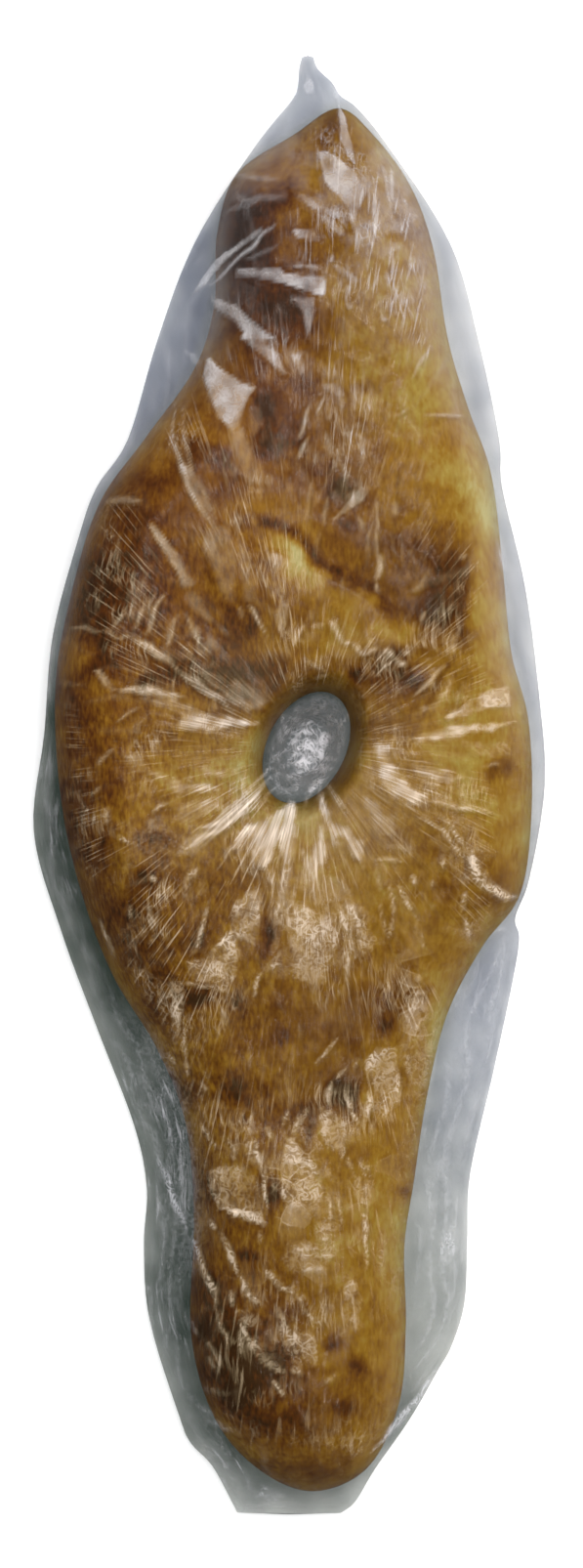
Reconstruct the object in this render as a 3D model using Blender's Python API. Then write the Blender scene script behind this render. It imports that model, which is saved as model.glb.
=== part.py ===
"""A shoti loaf, the long Georgian bread with a steam hole, closed in a snug bag of clear film.

The pack is one solid: the outside of the film, with the loaf's humps, laps and rounded sides under it,
the dip where the film is tucked into the steam hole, and the loose margins of film beside the loaf.
It lies flat. The origin is on the table, under the middle of the bag; +Y runs towards the pointed end
and +Z is up. The shapes below are worked out in millimetres and become metres in the mesh.
"""

import bpy
import numpy as np

METRES = 0.001

# The loaf's outline seen from above, from its pointed tip down the right side and back up the left.
LOAF_OUTLINE = [
    (17, 235), (29, 226), (43, 208), (51, 186), (56, 155), (62, 131), (70, 108), (74, 76),
    (77, 46), (83, 22), (84, -10), (80, -38), (69, -56), (59, -79), (50, -107), (45, -136),
    (41, -160), (42, -188), (39, -215), (27, -237), (8, -245), (-11, -237), (-26, -219), (-34, -190),
    (-33, -150), (-36, -117), (-46, -91), (-61, -66), (-72, -37), (-79, -5), (-81, 33), (-76, 64),
    (-66, 97), (-50, 120), (-33, 144), (-26, 166), (-25, 191), (-18, 212), (2, 226),
]
# Thickness of the loaf at stations along its length: (y, thickness).
LOAF_THICKNESS = [(-245, 27), (-205, 35), (-140, 35), (-95, 34), (-40, 40), (20, 42), (80, 40), (130, 36), (190, 31), (236, 17)]
MID_HEIGHT = 0.36  # the loaf is widest at this share of its thickness
SIDE_ROUNDING = 25  # how far in from its outline the loaf's top is still curving down
HOLE_ROUNDING = 16  # the same, out from the steam hole's wall

# The steam hole: an oval, longer from lower left to upper right.
HOLE_CENTRE = (6, 13)
HOLE_RADII = (13.5, 20.5)
HOLE_TILT = np.radians(-27)

# The bag's two side edges: (y, x) from the folded tail up to the twisted tip.
BAG_RIGHT = [
    (-253, 18), (-249, 23), (-237, 30), (-220, 42), (-203, 52), (-195, 56.5), (-180, 61), (-158, 62), (-135, 63),
    (-100, 71), (-67, 78), (-53, 80), (-46, 78.5), (-32, 83.5), (0, 88.8), (32, 86.8), (69, 82), (103, 74), (120, 73),
    (154, 66), (188, 56), (222, 34), (235, 23.5), (239, 18), (244, 15), (249, 10), (253, 8.5),
]
BAG_LEFT = [
    (-253, -18), (-237, -26.5), (-229, -34), (-220, -38), (-186, -48.5), (-160, -50.5), (-140, -49.5), (-118, -54),
    (-84, -67), (-50, -79.5), (-16, -88.8), (18, -85), (52, -82), (86, -73), (103, -67), (120, -56), (154, -46),
    (188, -33), (222, -11.5), (238, 1), (243, 3), (249, 3.5), (253, 4.5),
]

# The film.
CLEARANCE = 0.8  # between the loaf's crust and the outside of the film
EDGE_THICKNESS = 1.4  # of the pack where the two layers of film meet
EDGE_HEIGHT = 2.6  # of that edge above the table, beside a loose margin
SNUG_LIFT = 7.0  # how much higher the edge sits where the bag is tight round the loaf
SNUG_GAP = 8.0  # a margin narrower than about this counts as tight
FLAT_MARGIN = 9.0  # the loaf touches the table from this far in from its outline
TUCK_SHARE = 0.5  # the film is pushed down over this share of the steam hole's width and length
TUCK_HEIGHT = 6.0
FILM_WEIGHT = 0.012  # how much the film sags, in each relaxing step, where nothing holds it up
MAP_STEP = 3.0  # spacing of the height map that the film is relaxed on
RELAXING_STEPS = 700

# Radial pleats round the tuck, and long soft waves in the margins.
PLEATS = 11
PLEAT_HEIGHT = 2.0
PLEAT_INNER, PLEAT_FULL, PLEAT_OUTER = 16.0, 32.0, 74.0
WAVE_HEIGHT = 0.7
WAVE_LENGTH = 17.0

# The mesh: rings round the pack, each with points across the top and back under it.
STATIONS = 84
TOP_POINTS = 46
UNDER_POINTS = 18
END_BULGE = 0.5  # how far the middle of each end face stands out


def smooth_line(points, steps, closed=False):
    """Points along a Catmull-Rom curve through the given ones, with so many steps in each span."""
    knots = np.array(points, float)
    if closed:
        knots = np.vstack([knots[-1:], knots, knots[:2]])
    else:
        knots = np.vstack([2 * knots[0] - knots[1], knots, 2 * knots[-1] - knots[-2]])
    t = np.arange(steps)[:, None] / steps
    spans = [
        0.5 * (2 * b + (c - a) * t + (2 * a - 5 * b + 4 * c - d) * t**2 + (3 * b - a - 3 * c + d) * t**3)
        for a, b, c, d in zip(knots, knots[1:], knots[2:], knots[3:])
    ]
    return np.vstack(spans if closed else [*spans, knots[-2:-1]])


def smooth_step(value, start, end):
    """0 before start and 1 after end, easing in between."""
    share = np.clip((value - start) / (end - start), 0, 1)
    return share * share * (3 - 2 * share)


def distance_outside(x, y, line):
    """Distance from each point to a closed line in the plane, negative inside it."""
    nearest = np.full(x.shape, np.inf)
    inside = np.zeros(x.shape, bool)
    for (ax, ay), (bx, by) in zip(line, np.roll(line, -1, axis=0)):
        run, rise = bx - ax, by - ay
        along = np.clip(((x - ax) * run + (y - ay) * rise) / (run * run + rise * rise), 0, 1)
        nearest = np.minimum(nearest, np.hypot(x - ax - along * run, y - ay - along * rise))
        crosses = (ay > y) != (by > y)
        inside ^= crosses & (x < ax + (y - ay) * run / (rise if rise else 1e-9))
    return np.where(inside, -nearest, nearest)


def quarter_round(distance, radius):
    """The height of a quarter circle of radius 1, starting at distance 0 and level from distance radius on."""
    share = np.clip(1 - distance / radius, 0, 1)
    return np.sqrt(1 - share * share)


def loaf_edge(x, y):
    return distance_outside(x, y, smooth_line(LOAF_OUTLINE, 6, closed=True))


def bag_side(edge, y):
    """Where one of the bag's two side edges is at y."""
    line = smooth_line(edge, 6)
    return np.interp(y, line[:, 0], line[:, 1])


def bag_edge(x, y):
    """Distance inside the bag's outline, 0 outside it."""
    right, left = smooth_line(BAG_RIGHT, 6), smooth_line(BAG_LEFT, 6)
    outline = np.vstack([right[:, ::-1], left[::-1, ::-1]])
    return np.clip(-distance_outside(x, y, outline), 0, None)


def hole_share(x, y):
    """How far from the middle of the steam hole each point is, as a share of the way to its wall."""
    dx, dy = x - HOLE_CENTRE[0], y - HOLE_CENTRE[1]
    across = dx * np.cos(HOLE_TILT) + dy * np.sin(HOLE_TILT)
    along = dy * np.cos(HOLE_TILT) - dx * np.sin(HOLE_TILT)
    return np.hypot(across / HOLE_RADII[0], along / HOLE_RADII[1])


def hole_edge(x, y):
    """About how far outside the wall of the steam hole each point is."""
    share = hole_share(x, y)
    return (share - 1) * np.hypot(x - HOLE_CENTRE[0], y - HOLE_CENTRE[1]) / np.maximum(share, 1e-6)


def dough_laps(x, y):
    """The steps and humps left where the dough was folded and stretched, in millimetres of height."""
    # The round middle was folded up over the pointed end: its lap runs from the left shoulder down to the right.
    lap_line = 86 - 0.62 * (x + 10) + 5 * np.sin(x / 14)
    lap = 3.2 * smooth_step(lap_line - y, -3, 5) * smooth_step(lap_line - y, 42, 12)
    lap = lap * smooth_step(x, -38, -20) * smooth_step(x, 45, 25)
    # A furrow down the right side, between the browned top and the pale rim.
    furrow_line = 62 - 0.0042 * (y - 72) ** 2
    furrow = -3.2 * np.exp(-(((x - furrow_line) / 5) ** 2)) * smooth_step(y, 10, 30) * smooth_step(y, 118, 92)
    # A pinch across the loaf where the tail begins.
    pinch = -2.0 * np.exp(-(((y + 108 - 0.12 * x) / 9) ** 2))
    swells = 1.3 * np.sin(x / 19 + 0.8) * np.sin(y / 27 + 0.4) + 0.8 * np.sin(y / 13 + x / 23)
    return lap + furrow + pinch + swells


def loaf_top(x, y):
    """Height of the crust over the table; 0 outside the loaf."""
    thickness = smooth_line(LOAF_THICKNESS, 6)
    thickness = np.interp(y, thickness[:, 0], thickness[:, 1])
    inwards = -loaf_edge(x, y)
    crown = quarter_round(inwards, SIDE_ROUNDING) * quarter_round(hole_edge(x, y), HOLE_ROUNDING)
    low = MID_HEIGHT * thickness
    top = low + (thickness - low) * crown + dough_laps(x, y) * crown**2
    return np.where((inwards > 0) & (hole_edge(x, y) > 0), top, 0)


def edge_height(x, y):
    """Height of the bag's edge: low beside a loose margin, higher where the bag is tight round the loaf."""
    margin = np.clip(loaf_edge(x, y) + bag_edge(x, y), 0, None)
    return EDGE_HEIGHT + SNUG_LIFT * np.exp(-((margin / SNUG_GAP) ** 2))


def taut_film(x, y):
    """The film's top side over a grid of x and y: a skin that settles to the mean of its neighbours, a little
    lower for its own weight, wherever the crust doesn't hold it up. It is held down in the steam hole."""
    rim = edge_height(x, y) + EDGE_THICKNESS / 2
    crust = loaf_top(x, y)
    held = np.where(crust > 0, crust + CLEARANCE, TUCK_HEIGHT / 2)
    inside = bag_edge(x, y) > 0
    held = np.where(inside, held, rim)
    tuck = hole_share(x, y) < TUCK_SHARE
    film = np.maximum(held, rim)
    for _ in range(RELAXING_STEPS):
        middle = film[1:-1, :-2] + film[1:-1, 2:] + film[:-2, 1:-1] + film[2:, 1:-1]
        film[1:-1, 1:-1] = middle / 4 - FILM_WEIGHT
        film = np.where(inside, np.maximum(film, held), rim)
        film[tuck] = TUCK_HEIGHT
    return film


def creases(x, y):
    """Height that the pleats round the tuck and the waves in the loose margins add to the film."""
    dx, dy = x - HOLE_CENTRE[0], y - HOLE_CENTRE[1]
    reach, turn = np.hypot(dx, dy), np.arctan2(dy, dx)
    pleat = (0.5 + 0.5 * np.cos(turn * PLEATS + 1.6 * np.sin(2 * turn) + np.cos(turn))) ** 2
    window = smooth_step(reach, PLEAT_INNER, PLEAT_FULL) * smooth_step(reach, PLEAT_OUTER, PLEAT_FULL)
    margin = smooth_step(loaf_edge(x, y), 0, 12) * smooth_step(bag_edge(x, y), 0, 8)
    wave = np.sin(2 * np.pi * (y + 0.6 * x) / WAVE_LENGTH + 1.4 * np.sin(y / 31)) + 1
    return PLEAT_HEIGHT * pleat * window + WAVE_HEIGHT * wave * margin


def film_map():
    """The taut film on a grid that reaches a little past the bag: (x values, y values, heights)."""
    xs = np.arange(-96, 96 + MAP_STEP, MAP_STEP)
    ys = np.arange(-261, 261 + MAP_STEP, MAP_STEP)
    x, y = np.meshgrid(xs, ys)
    return xs, ys, taut_film(x, y)


def read_map(grid, x, y):
    """The height map between its grid points."""
    xs, ys, heights = grid
    column = np.clip((x - xs[0]) / MAP_STEP, 0, len(xs) - 1.001)
    row = np.clip((y - ys[0]) / MAP_STEP, 0, len(ys) - 1.001)
    i, j = column.astype(int), row.astype(int)
    u, v = column - i, row - j
    low = heights[j, i] * (1 - u) + heights[j, i + 1] * u
    high = heights[j + 1, i] * (1 - u) + heights[j + 1, i + 1] * u
    return low * (1 - v) + high * v


def film_under(x, y):
    """The film's underside: flat on the table under the loaf, and rising from there to the bag's edge."""
    start = loaf_edge(x, y) + FLAT_MARGIN
    share = np.clip(start, 0, None) / (np.clip(start, 0, None) + bag_edge(x, y) + 1e-6)
    return (edge_height(x, y) - EDGE_THICKNESS / 2) * share**1.6


def station_places():
    """y of each ring, closest together over the steam hole and at the two ends."""
    first, last = BAG_LEFT[0][0], BAG_LEFT[-1][0]
    fine = np.linspace(first, last, 2001)
    density = 1 + 1.1 * np.exp(-(((fine - HOLE_CENTRE[1]) / 38) ** 2))
    density += 2.0 * np.exp(-(((fine - last) / 16) ** 2)) + 0.8 * np.exp(-(((fine - first) / 14) ** 2))
    reached = np.concatenate([[0], np.cumsum((density[1:] + density[:-1]) / 2)])
    return np.interp(np.linspace(0, reached[-1], STATIONS), reached, fine)


def pack_points():
    """Every ring's points in millimetres, as an array of station by point by (x, y, z)."""
    y = station_places()[:, None]
    left, right = bag_side(BAG_LEFT, y), bag_side(BAG_RIGHT, y)
    over = left + (right - left) * np.linspace(0, 1, TOP_POINTS)
    under = right + (left - right) * np.linspace(0, 1, UNDER_POINTS)
    y_over, y_under = y + 0 * over, y + 0 * under
    height = read_map(film_map(), over, y_over) + creases(over, y_over)
    top = np.stack([over, y_over, height], axis=-1)
    bottom = np.stack([under, y_under, film_under(under, y_under)], axis=-1)
    return np.concatenate([top, bottom], axis=1)


def make_pack():
    """The closed mesh: quads between neighbouring rings, and a fan of triangles over each end ring."""
    rings = pack_points() * METRES
    stations, around = rings.shape[:2]
    ring, point = np.meshgrid(np.arange(stations - 1), np.arange(around), indexing="ij")
    beside = (point + 1) % around
    corners = [ring * around + point, ring * around + beside, (ring + 1) * around + beside, (ring + 1) * around + point]
    faces = np.stack(corners, axis=-1).reshape(-1, 4).tolist()
    bulge = np.array([0, END_BULGE * METRES, 0])
    tail_middle, tip_middle = rings[0].mean(axis=0) - bulge, rings[-1].mean(axis=0) + bulge
    tail, tip, last = stations * around, stations * around + 1, (stations - 1) * around
    faces += [[(k + 1) % around, k, tail] for k in range(around)]
    faces += [[last + k, last + (k + 1) % around, tip] for k in range(around)]
    mesh = bpy.data.meshes.new("shoti_in_film")
    mesh.from_pydata([*rings.reshape(-1, 3).tolist(), tail_middle.tolist(), tip_middle.tolist()], [], faces)
    mesh.update()
    mesh.shade_smooth()
    mesh.set_sharp_from_angle(angle=np.radians(50))
    pack = bpy.data.objects.new("shoti_in_film", mesh)
    bpy.context.scene.collection.objects.link(pack)
    return pack


def crust_under_film():
    """Golden brown crust seen through glossy clear film."""
    material = bpy.data.materials.new("crust_under_film")
    material.use_nodes = True
    shader = material.node_tree.nodes["Principled BSDF"]
    shader.inputs["Base Color"].default_value = (0.31, 0.16, 0.045, 1)
    shader.inputs["Roughness"].default_value = 0.3
    shader.inputs["Metallic"].default_value = 0
    return material


def main():
    for old in list(bpy.data.objects):
        bpy.data.objects.remove(old)
    make_pack().data.materials.append(crust_under_film())


main()
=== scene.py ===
# %% [markdown]
# # A shoti loaf in a clear film bag
# A shoti is a long Georgian bread. Its dough is pulled out to two points, a steam hole is pressed
# through the middle, and it bakes stuck to the hot wall of a round clay oven. This one lies in the thin
# clear bag that it is sold in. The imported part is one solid, as large as the outside of the bag. Here it
# is replaced by what is really there: the loaf, with its hole, and the film round it.

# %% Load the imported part
import math

import bpy
import numpy as np
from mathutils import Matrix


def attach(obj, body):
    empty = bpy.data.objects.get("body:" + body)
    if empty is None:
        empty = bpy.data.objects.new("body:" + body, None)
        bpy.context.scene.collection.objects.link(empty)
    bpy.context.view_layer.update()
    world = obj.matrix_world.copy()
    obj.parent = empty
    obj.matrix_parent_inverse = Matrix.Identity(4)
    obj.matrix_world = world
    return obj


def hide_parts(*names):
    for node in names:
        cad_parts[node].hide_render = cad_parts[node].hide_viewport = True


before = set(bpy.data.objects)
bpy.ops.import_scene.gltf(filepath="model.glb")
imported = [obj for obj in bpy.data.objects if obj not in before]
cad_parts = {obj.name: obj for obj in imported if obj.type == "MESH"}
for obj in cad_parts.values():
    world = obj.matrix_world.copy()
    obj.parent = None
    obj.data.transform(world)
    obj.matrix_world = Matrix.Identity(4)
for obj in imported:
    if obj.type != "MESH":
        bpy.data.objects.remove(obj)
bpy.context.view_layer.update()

# %% [markdown]
# ## Sizes
# Everything is worked out in millimetres and becomes metres when it goes into a mesh. The loaf's outline
# and thickness, the bag's two edges and the rules for the film are the solid's own, but for the loaf's
# right side, which is up to 4 mm further in, where the picture shows its edge through the film. So the
# pieces made here fill the same space. Millimetres are easier to think in, because a crust's blister, a
# film's crease and a pixel of the picture all measure about half of one to five of them.

# %% Sizes of the loaf and the bag, in millimetres
MM = 0.001

LOAF_OUTLINE = [  # x and y
    (17, 235), (29, 226), (42, 208), (50, 186), (55, 155), (62, 131), (70, 108), (74, 76), (77, 46),
    (83, 22), (84, -10), (80, -38), (67, -56), (55, -79), (48, -107), (43.5, -136), (40, -160),
    (40.5, -188), (38, -215), (27, -237), (8, -245), (-11, -237), (-26, -219), (-34, -190), (-33, -150),
    (-36, -117), (-46, -91), (-61, -66), (-72, -37), (-79, -5), (-81, 33), (-76, 64), (-66, 97),
    (-50, 120), (-33, 144), (-26, 166), (-25, 191), (-18, 212), (2, 226),
]
LOAF_THICKNESS = [  # y, and the thickness there
    (-245, 27), (-205, 35), (-140, 35), (-95, 34), (-40, 40), (20, 42), (80, 40), (130, 36), (190, 31),
    (236, 17),
]
MID_HEIGHT = 0.36  # the loaf is widest at this share of its thickness
SIDE_ROUNDING = 25  # how far in from its edge the loaf is rounded off, over and under it
HOLE_ROUNDING = 8
UNDER_ROUNDING = 12
UNDER_HOLE_ROUNDING = 8
HOLE_CENTRE = (6, 13)
HOLE_RADII = (13.5, 20.5)
HOLE_TILT = math.radians(-27)

BAG_RIGHT = [  # y, and x of the bag's edge there
    (-253, 18), (-249, 23), (-237, 30), (-220, 42), (-203, 52), (-195, 56.5), (-180, 61), (-158, 62),
    (-135, 63), (-100, 71), (-67, 78), (-53, 80), (-46, 78.5), (-32, 83.5), (0, 88.8), (32, 86.8),
    (69, 82), (103, 74), (120, 73), (154, 66), (188, 56), (222, 34), (235, 23.5), (239, 18), (244, 15),
    (249, 10), (253, 8.5),
]
BAG_LEFT = [
    (-253, -18), (-237, -26.5), (-229, -34), (-220, -38), (-186, -48.5), (-160, -50.5), (-140, -49.5),
    (-118, -54), (-84, -67), (-50, -79.5), (-16, -88.8), (18, -85), (52, -82), (86, -73), (103, -67),
    (120, -56), (154, -46), (188, -33), (222, -11.5), (238, 1), (243, 3), (249, 3.5), (253, 4.5),
]

CLEARANCE = 1.2  # between the crust and the film that spans its pebbles
EDGE_THICKNESS = 1.4  # of the bag's edge, both layers and the air in it
EDGE_HEIGHT = 2.6  # of the middle of that edge over the table
SNUG_LIFT = 7.0  # how much higher it is where the film is tight round the loaf
SNUG_GAP = 8.0  # where the margin is much wider than this, the film isn't tight
FLAT_MARGIN = 9.0  # the film under the loaf lies flat up to this far inside its outline
TUCK_SHARE = 0.5  # the inner part of the hole, where the film is held down
TUCK_HEIGHT = 6.0
SAG_PER_MM2 = 0.00133  # how far the film sags below the mean of its neighbours, for each mm2 of grid square

# %% [markdown]
# ## Small tools
# A smooth curve through a few points gives the outlines. The distance to an outline tells how far in from
# the edge a point lies, and a quarter circle of that distance gives the loaf its rounded shoulders.

# %% Curves, steps and distances
def smooth_line(points, steps, closed=False):
    """A Catmull-Rom curve: from b to c, half of 2b + (c-a)t + (2a-5b+4c-d)t^2 + (3b-a-3c+d)t^3."""
    knots = np.array(points, float)
    if closed:
        knots = np.vstack([knots[-1:], knots, knots[:2]])
    else:
        knots = np.vstack([2 * knots[0] - knots[1], knots, 2 * knots[-1] - knots[-2]])
    t = np.arange(steps)[:, None] / steps
    spans = [
        0.5 * (2 * b + (c - a) * t + (2 * a - 5 * b + 4 * c - d) * t**2 + (3 * b - a - 3 * c + d) * t**3)
        for a, b, c, d in zip(knots, knots[1:], knots[2:], knots[3:])
    ]
    return np.vstack(spans if closed else [*spans, knots[-2:-1]])


def smooth_step(value, start, end):
    """0 before start, 1 after end, and 3s^2 - 2s^3 of the share s in between."""
    share = np.clip((value - start) / (end - start), 0, 1)
    return share * share * (3 - 2 * share)


def distance_outside(x, y, line):
    """Distance to the nearest stretch of a closed line, negative inside it (an odd number to the right)."""
    nearest = np.full(x.shape, np.inf)
    inside = np.zeros(x.shape, bool)
    for (ax, ay), (bx, by) in zip(line, np.roll(line, -1, axis=0)):
        run, rise = bx - ax, by - ay
        along = np.clip(((x - ax) * run + (y - ay) * rise) / (run * run + rise * rise), 0, 1)
        nearest = np.minimum(nearest, np.hypot(x - ax - along * run, y - ay - along * rise))
        crosses = (ay > y) != (by > y)
        inside ^= crosses & (x < ax + (y - ay) * run / (rise if rise else 1e-9))
    return np.where(inside, -nearest, nearest)


def quarter_round(distance, radius):
    """Height of a quarter circle of radius 1 that starts at distance 0 and is level from distance radius."""
    share = np.clip(1 - distance / radius, 0, 1)
    return np.sqrt(1 - share * share)


loaf_line = smooth_line(LOAF_OUTLINE, 6, closed=True)
bag_right_line, bag_left_line = smooth_line(BAG_RIGHT, 6), smooth_line(BAG_LEFT, 6)
bag_line = np.vstack([bag_right_line[:, ::-1], bag_left_line[::-1, ::-1]])
print("points on the loaf's and the bag's outlines:", len(loaf_line), len(bag_line))


# %% Waves with no pattern to them
def rough(x, y, shortest, longest, waves, seed):
    """The sum of plane waves, about -1 to 1, with random lengths between two ends, directions and phases."""
    draw = np.random.default_rng(seed)
    lengths = draw.uniform(shortest, longest, waves)
    turns, phases = draw.uniform(0, math.tau, (2, waves))
    total = np.zeros(x.shape)
    for length, turn, phase in zip(lengths, turns, phases):
        total += np.sin(math.tau * (x * math.cos(turn) + y * math.sin(turn)) / length + phase)
    return total / math.sqrt(waves)


# %% [markdown]
# ## The loaf's form
# The crust's height over the table is a function of the place on it. It is the loaf's thickness there,
# rounded off towards the outline and towards the steam hole, with the laps where the dough was folded and
# the blisters that the oven raised. One function like this serves twice: the loaf's surface is made from
# it, and the film is laid over it.

# %% The crust's height
LAP_HEIGHT = 3.2  # the dough's lap over the hole, the furrow down its right side and the pinch at its waist
FURROW_DEPTH = 3.2
PINCH_DEPTH = 2.0
BLISTER_HEIGHT = 0.55
PEBBLE_HEIGHT = 0.16
LOAF_LIFT = 0.4  # the film under the loaf, and the small gap that two meshes keep


def hole_share(x, y):
    """How far from the middle of the hole a point is, as a share of the way to its oval wall."""
    dx, dy = x - HOLE_CENTRE[0], y - HOLE_CENTRE[1]
    across = dx * math.cos(HOLE_TILT) + dy * math.sin(HOLE_TILT)
    along = dy * math.cos(HOLE_TILT) - dx * math.sin(HOLE_TILT)
    return np.hypot(across / HOLE_RADII[0], along / HOLE_RADII[1])


def hole_edge(x, y):
    """About how far outside the hole's wall a point is: its distance from the middle, less the wall's."""
    share = hole_share(x, y)
    return (share - 1) * np.hypot(x - HOLE_CENTRE[0], y - HOLE_CENTRE[1]) / np.maximum(share, 1e-6)


def loaf_thickness(y):
    """The loaf's full thickness at a distance along it, read off a smooth curve through LOAF_THICKNESS."""
    line = smooth_line(LOAF_THICKNESS, 6)
    return np.interp(y, line[:, 0], line[:, 1])


def dough_laps(x, y):
    """A step along a wavy slanting line, bells across two other lines, and waves of 1 mm, in mm of height."""
    lap_line = 86 - 0.62 * (x + 10) + 5 * np.sin(x / 14)
    lap = LAP_HEIGHT * smooth_step(lap_line - y, -3, 5) * smooth_step(lap_line - y, 42, 12)
    lap = lap * smooth_step(x, -38, -20) * smooth_step(x, 45, 25)
    furrow_line = 62 - 0.0042 * (y - 72) ** 2
    furrow = -FURROW_DEPTH * np.exp(-(((x - furrow_line) / 5) ** 2))
    furrow = furrow * smooth_step(y, 10, 30) * smooth_step(y, 118, 92)
    pinch = -PINCH_DEPTH * np.exp(-(((y + 108 - 0.12 * x) / 9) ** 2))
    swells = 1.3 * np.sin(x / 19 + 0.8) * np.sin(y / 27 + 0.4) + 0.8 * np.sin(y / 13 + x / 23)
    return lap + furrow + pinch + swells


def blisters(x, y):
    """Low blisters 6 to 20 mm apart and a finer pebbling, in millimetres."""
    raised = np.clip(rough(x, y, 9, 22, 16, seed=3) - 0.5, 0, None)
    return BLISTER_HEIGHT * raised + PEBBLE_HEIGHT * rough(x, y, 3.5, 7, 18, seed=4)


def crust_height(x, y, inwards, pebbling=1):
    """From the widest level up by the quarter circles of both edges; laps and blisters fade out there too."""
    thickness = loaf_thickness(y)
    crown = quarter_round(inwards, SIDE_ROUNDING) * quarter_round(hole_edge(x, y), HOLE_ROUNDING)
    low = MID_HEIGHT * thickness
    return low + (thickness - low) * crown + (dough_laps(x, y) + pebbling * blisters(x, y)) * crown**2


def under_height(x, y, inwards):
    """Height of the loaf's underside, flat but for its rounded edges."""
    low = MID_HEIGHT * loaf_thickness(y)
    flat = quarter_round(inwards, UNDER_ROUNDING) * quarter_round(hole_edge(x, y), UNDER_HOLE_ROUNDING)
    return LOAF_LIFT + (low - LOAF_LIFT) * (1 - flat)


shoulder = np.array([[40.0]]), np.array([[60.0]])
high = crust_height(*shoulder, -distance_outside(*shoulder, loaf_line))
print("the crust is", round(high.item(), 1), "mm high on the right shoulder")

# %% [markdown]
# ## Laying the film
# A real bag could be made with a cloth simulation. Film this thin hardly stretches and its rest shape is
# known, so a relaxed height map does the same in a second: each point of a grid moves to the mean of its
# neighbours, a little lower for the film's weight, and never below the crust. The middle of the steam hole
# holds it down, and the bag's edge holds it near the table. A coarse grid settles first and each finer one
# starts from it.

# %% The height map that the film settles to
MAP_HALF = (96, 264)
MAP_LEVELS = [(4, 260), (2, 160), (1, 90)]  # grid spacing and relaxing steps


def read_map(field, x, y):
    """A map's value between its grid points, from the four corners round each place."""
    step = 2 * MAP_HALF[0] / (field.shape[1] - 1)
    column = np.clip((x + MAP_HALF[0]) / step, 0, field.shape[1] - 1.001)
    row = np.clip((y + MAP_HALF[1]) / step, 0, field.shape[0] - 1.001)
    i, j = column.astype(int), row.astype(int)
    u, v = column - i, row - j
    low = field[j, i] * (1 - u) + field[j, i + 1] * u
    high = field[j + 1, i] * (1 - u) + field[j + 1, i + 1] * u
    return low * (1 - v) + high * v


def edge_height(to_loaf, to_bag):
    """Height of the bag's edge: low beside a loose margin, higher where the film is tight round the loaf."""
    margin = np.clip(to_loaf + to_bag, 0, None)
    return EDGE_HEIGHT + SNUG_LIFT * np.exp(-((margin / SNUG_GAP) ** 2))


film_map = None  # until the coarse grid has settled
for spacing, steps in MAP_LEVELS:
    across = np.arange(-MAP_HALF[0], MAP_HALF[0] + spacing / 2, spacing)
    along = np.arange(-MAP_HALF[1], MAP_HALF[1] + spacing / 2, spacing)
    x, y = np.meshgrid(across, along)
    loaf_map = distance_outside(x, y, loaf_line)
    bag_map = np.clip(-distance_outside(x, y, bag_line), 0, None)
    rim = edge_height(loaf_map, bag_map) + EDGE_THICKNESS / 2
    on_loaf = (loaf_map < 0) & (hole_edge(x, y) > 0)
    crust_map = np.where(on_loaf, crust_height(x, y, -loaf_map, pebbling=0), 0)
    held = np.where(on_loaf, crust_map + CLEARANCE, TUCK_HEIGHT / 2)
    held = np.where(bag_map > 0, held, rim)
    film = np.maximum(held, rim) if film_map is None else read_map(film_map, x, y)
    tuck = hole_share(x, y) < TUCK_SHARE
    for _ in range(steps):
        middle = film[1:-1, :-2] + film[1:-1, 2:] + film[:-2, 1:-1] + film[2:, 1:-1]
        film[1:-1, 1:-1] = middle / 4 - SAG_PER_MM2 * spacing**2
        film = np.where(bag_map > 0, np.maximum(film, held), rim)
        film[tuck] = TUCK_HEIGHT
    film_map = film
print("film settled; highest point", round(float(film_map.max()), 1), "mm")

# %% [markdown]
# ## Putting arrays into a mesh
# Both pieces are grids, so one function turns a grid of points into a mesh. It joins neighbours with
# quads, closes the grid round on itself where the piece is a tube or a ring, and stores any extra numbers
# worked out for each point as attributes, which the materials read.

# %% A mesh from a grid of points
def grid_faces(rows, columns, closed_rows):
    """Quads between neighbouring points; columns always close on themselves, rows do where asked."""
    starts = np.arange(rows if closed_rows else rows - 1)
    row, column = np.meshgrid(starts, np.arange(columns), indexing="ij")
    beside, beyond = (column + 1) % columns, (row + 1) % rows * columns
    row = row * columns
    corners = [row + column, row + beside, beyond + beside, beyond + column]
    return np.stack(corners, axis=-1).reshape(-1, 4)


def make_piece(name, points_mm, quads, fans, attributes, material):
    """One mesh object at the origin, from points in mm, quads, triangle fans and per-point numbers."""
    corners = np.concatenate([quads.ravel(), fans.ravel()]).astype(np.int32)
    starts = np.concatenate([4 * np.arange(len(quads)), 4 * len(quads) + 3 * np.arange(len(fans))])
    starts = starts.astype(np.int32)
    mesh = bpy.data.meshes.new(name)
    mesh.vertices.add(len(points_mm))
    mesh.vertices.foreach_set("co", (points_mm * MM).astype(np.float32).ravel())
    mesh.loops.add(len(corners))
    mesh.loops.foreach_set("vertex_index", corners)
    mesh.polygons.add(len(starts))
    mesh.polygons.foreach_set("loop_start", starts)
    mesh.update(calc_edges=True)
    mesh.validate()
    mesh.shade_smooth()
    for key, values in attributes.items():
        kind, field = ("FLOAT_VECTOR", "vector") if values.shape[-1:] == (3,) else ("FLOAT", "value")
        mesh.attributes.new(key, kind, "POINT").data.foreach_set(field, values.astype(np.float32).ravel())
    mesh.materials.append(material)
    piece = bpy.data.objects.new(name, mesh)
    bpy.context.scene.collection.objects.link(piece)
    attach(piece, "root")
    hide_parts("shoti_in_film")
    print(name, "has", 2 * len(quads) + len(fans), "triangles")
    return piece


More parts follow.
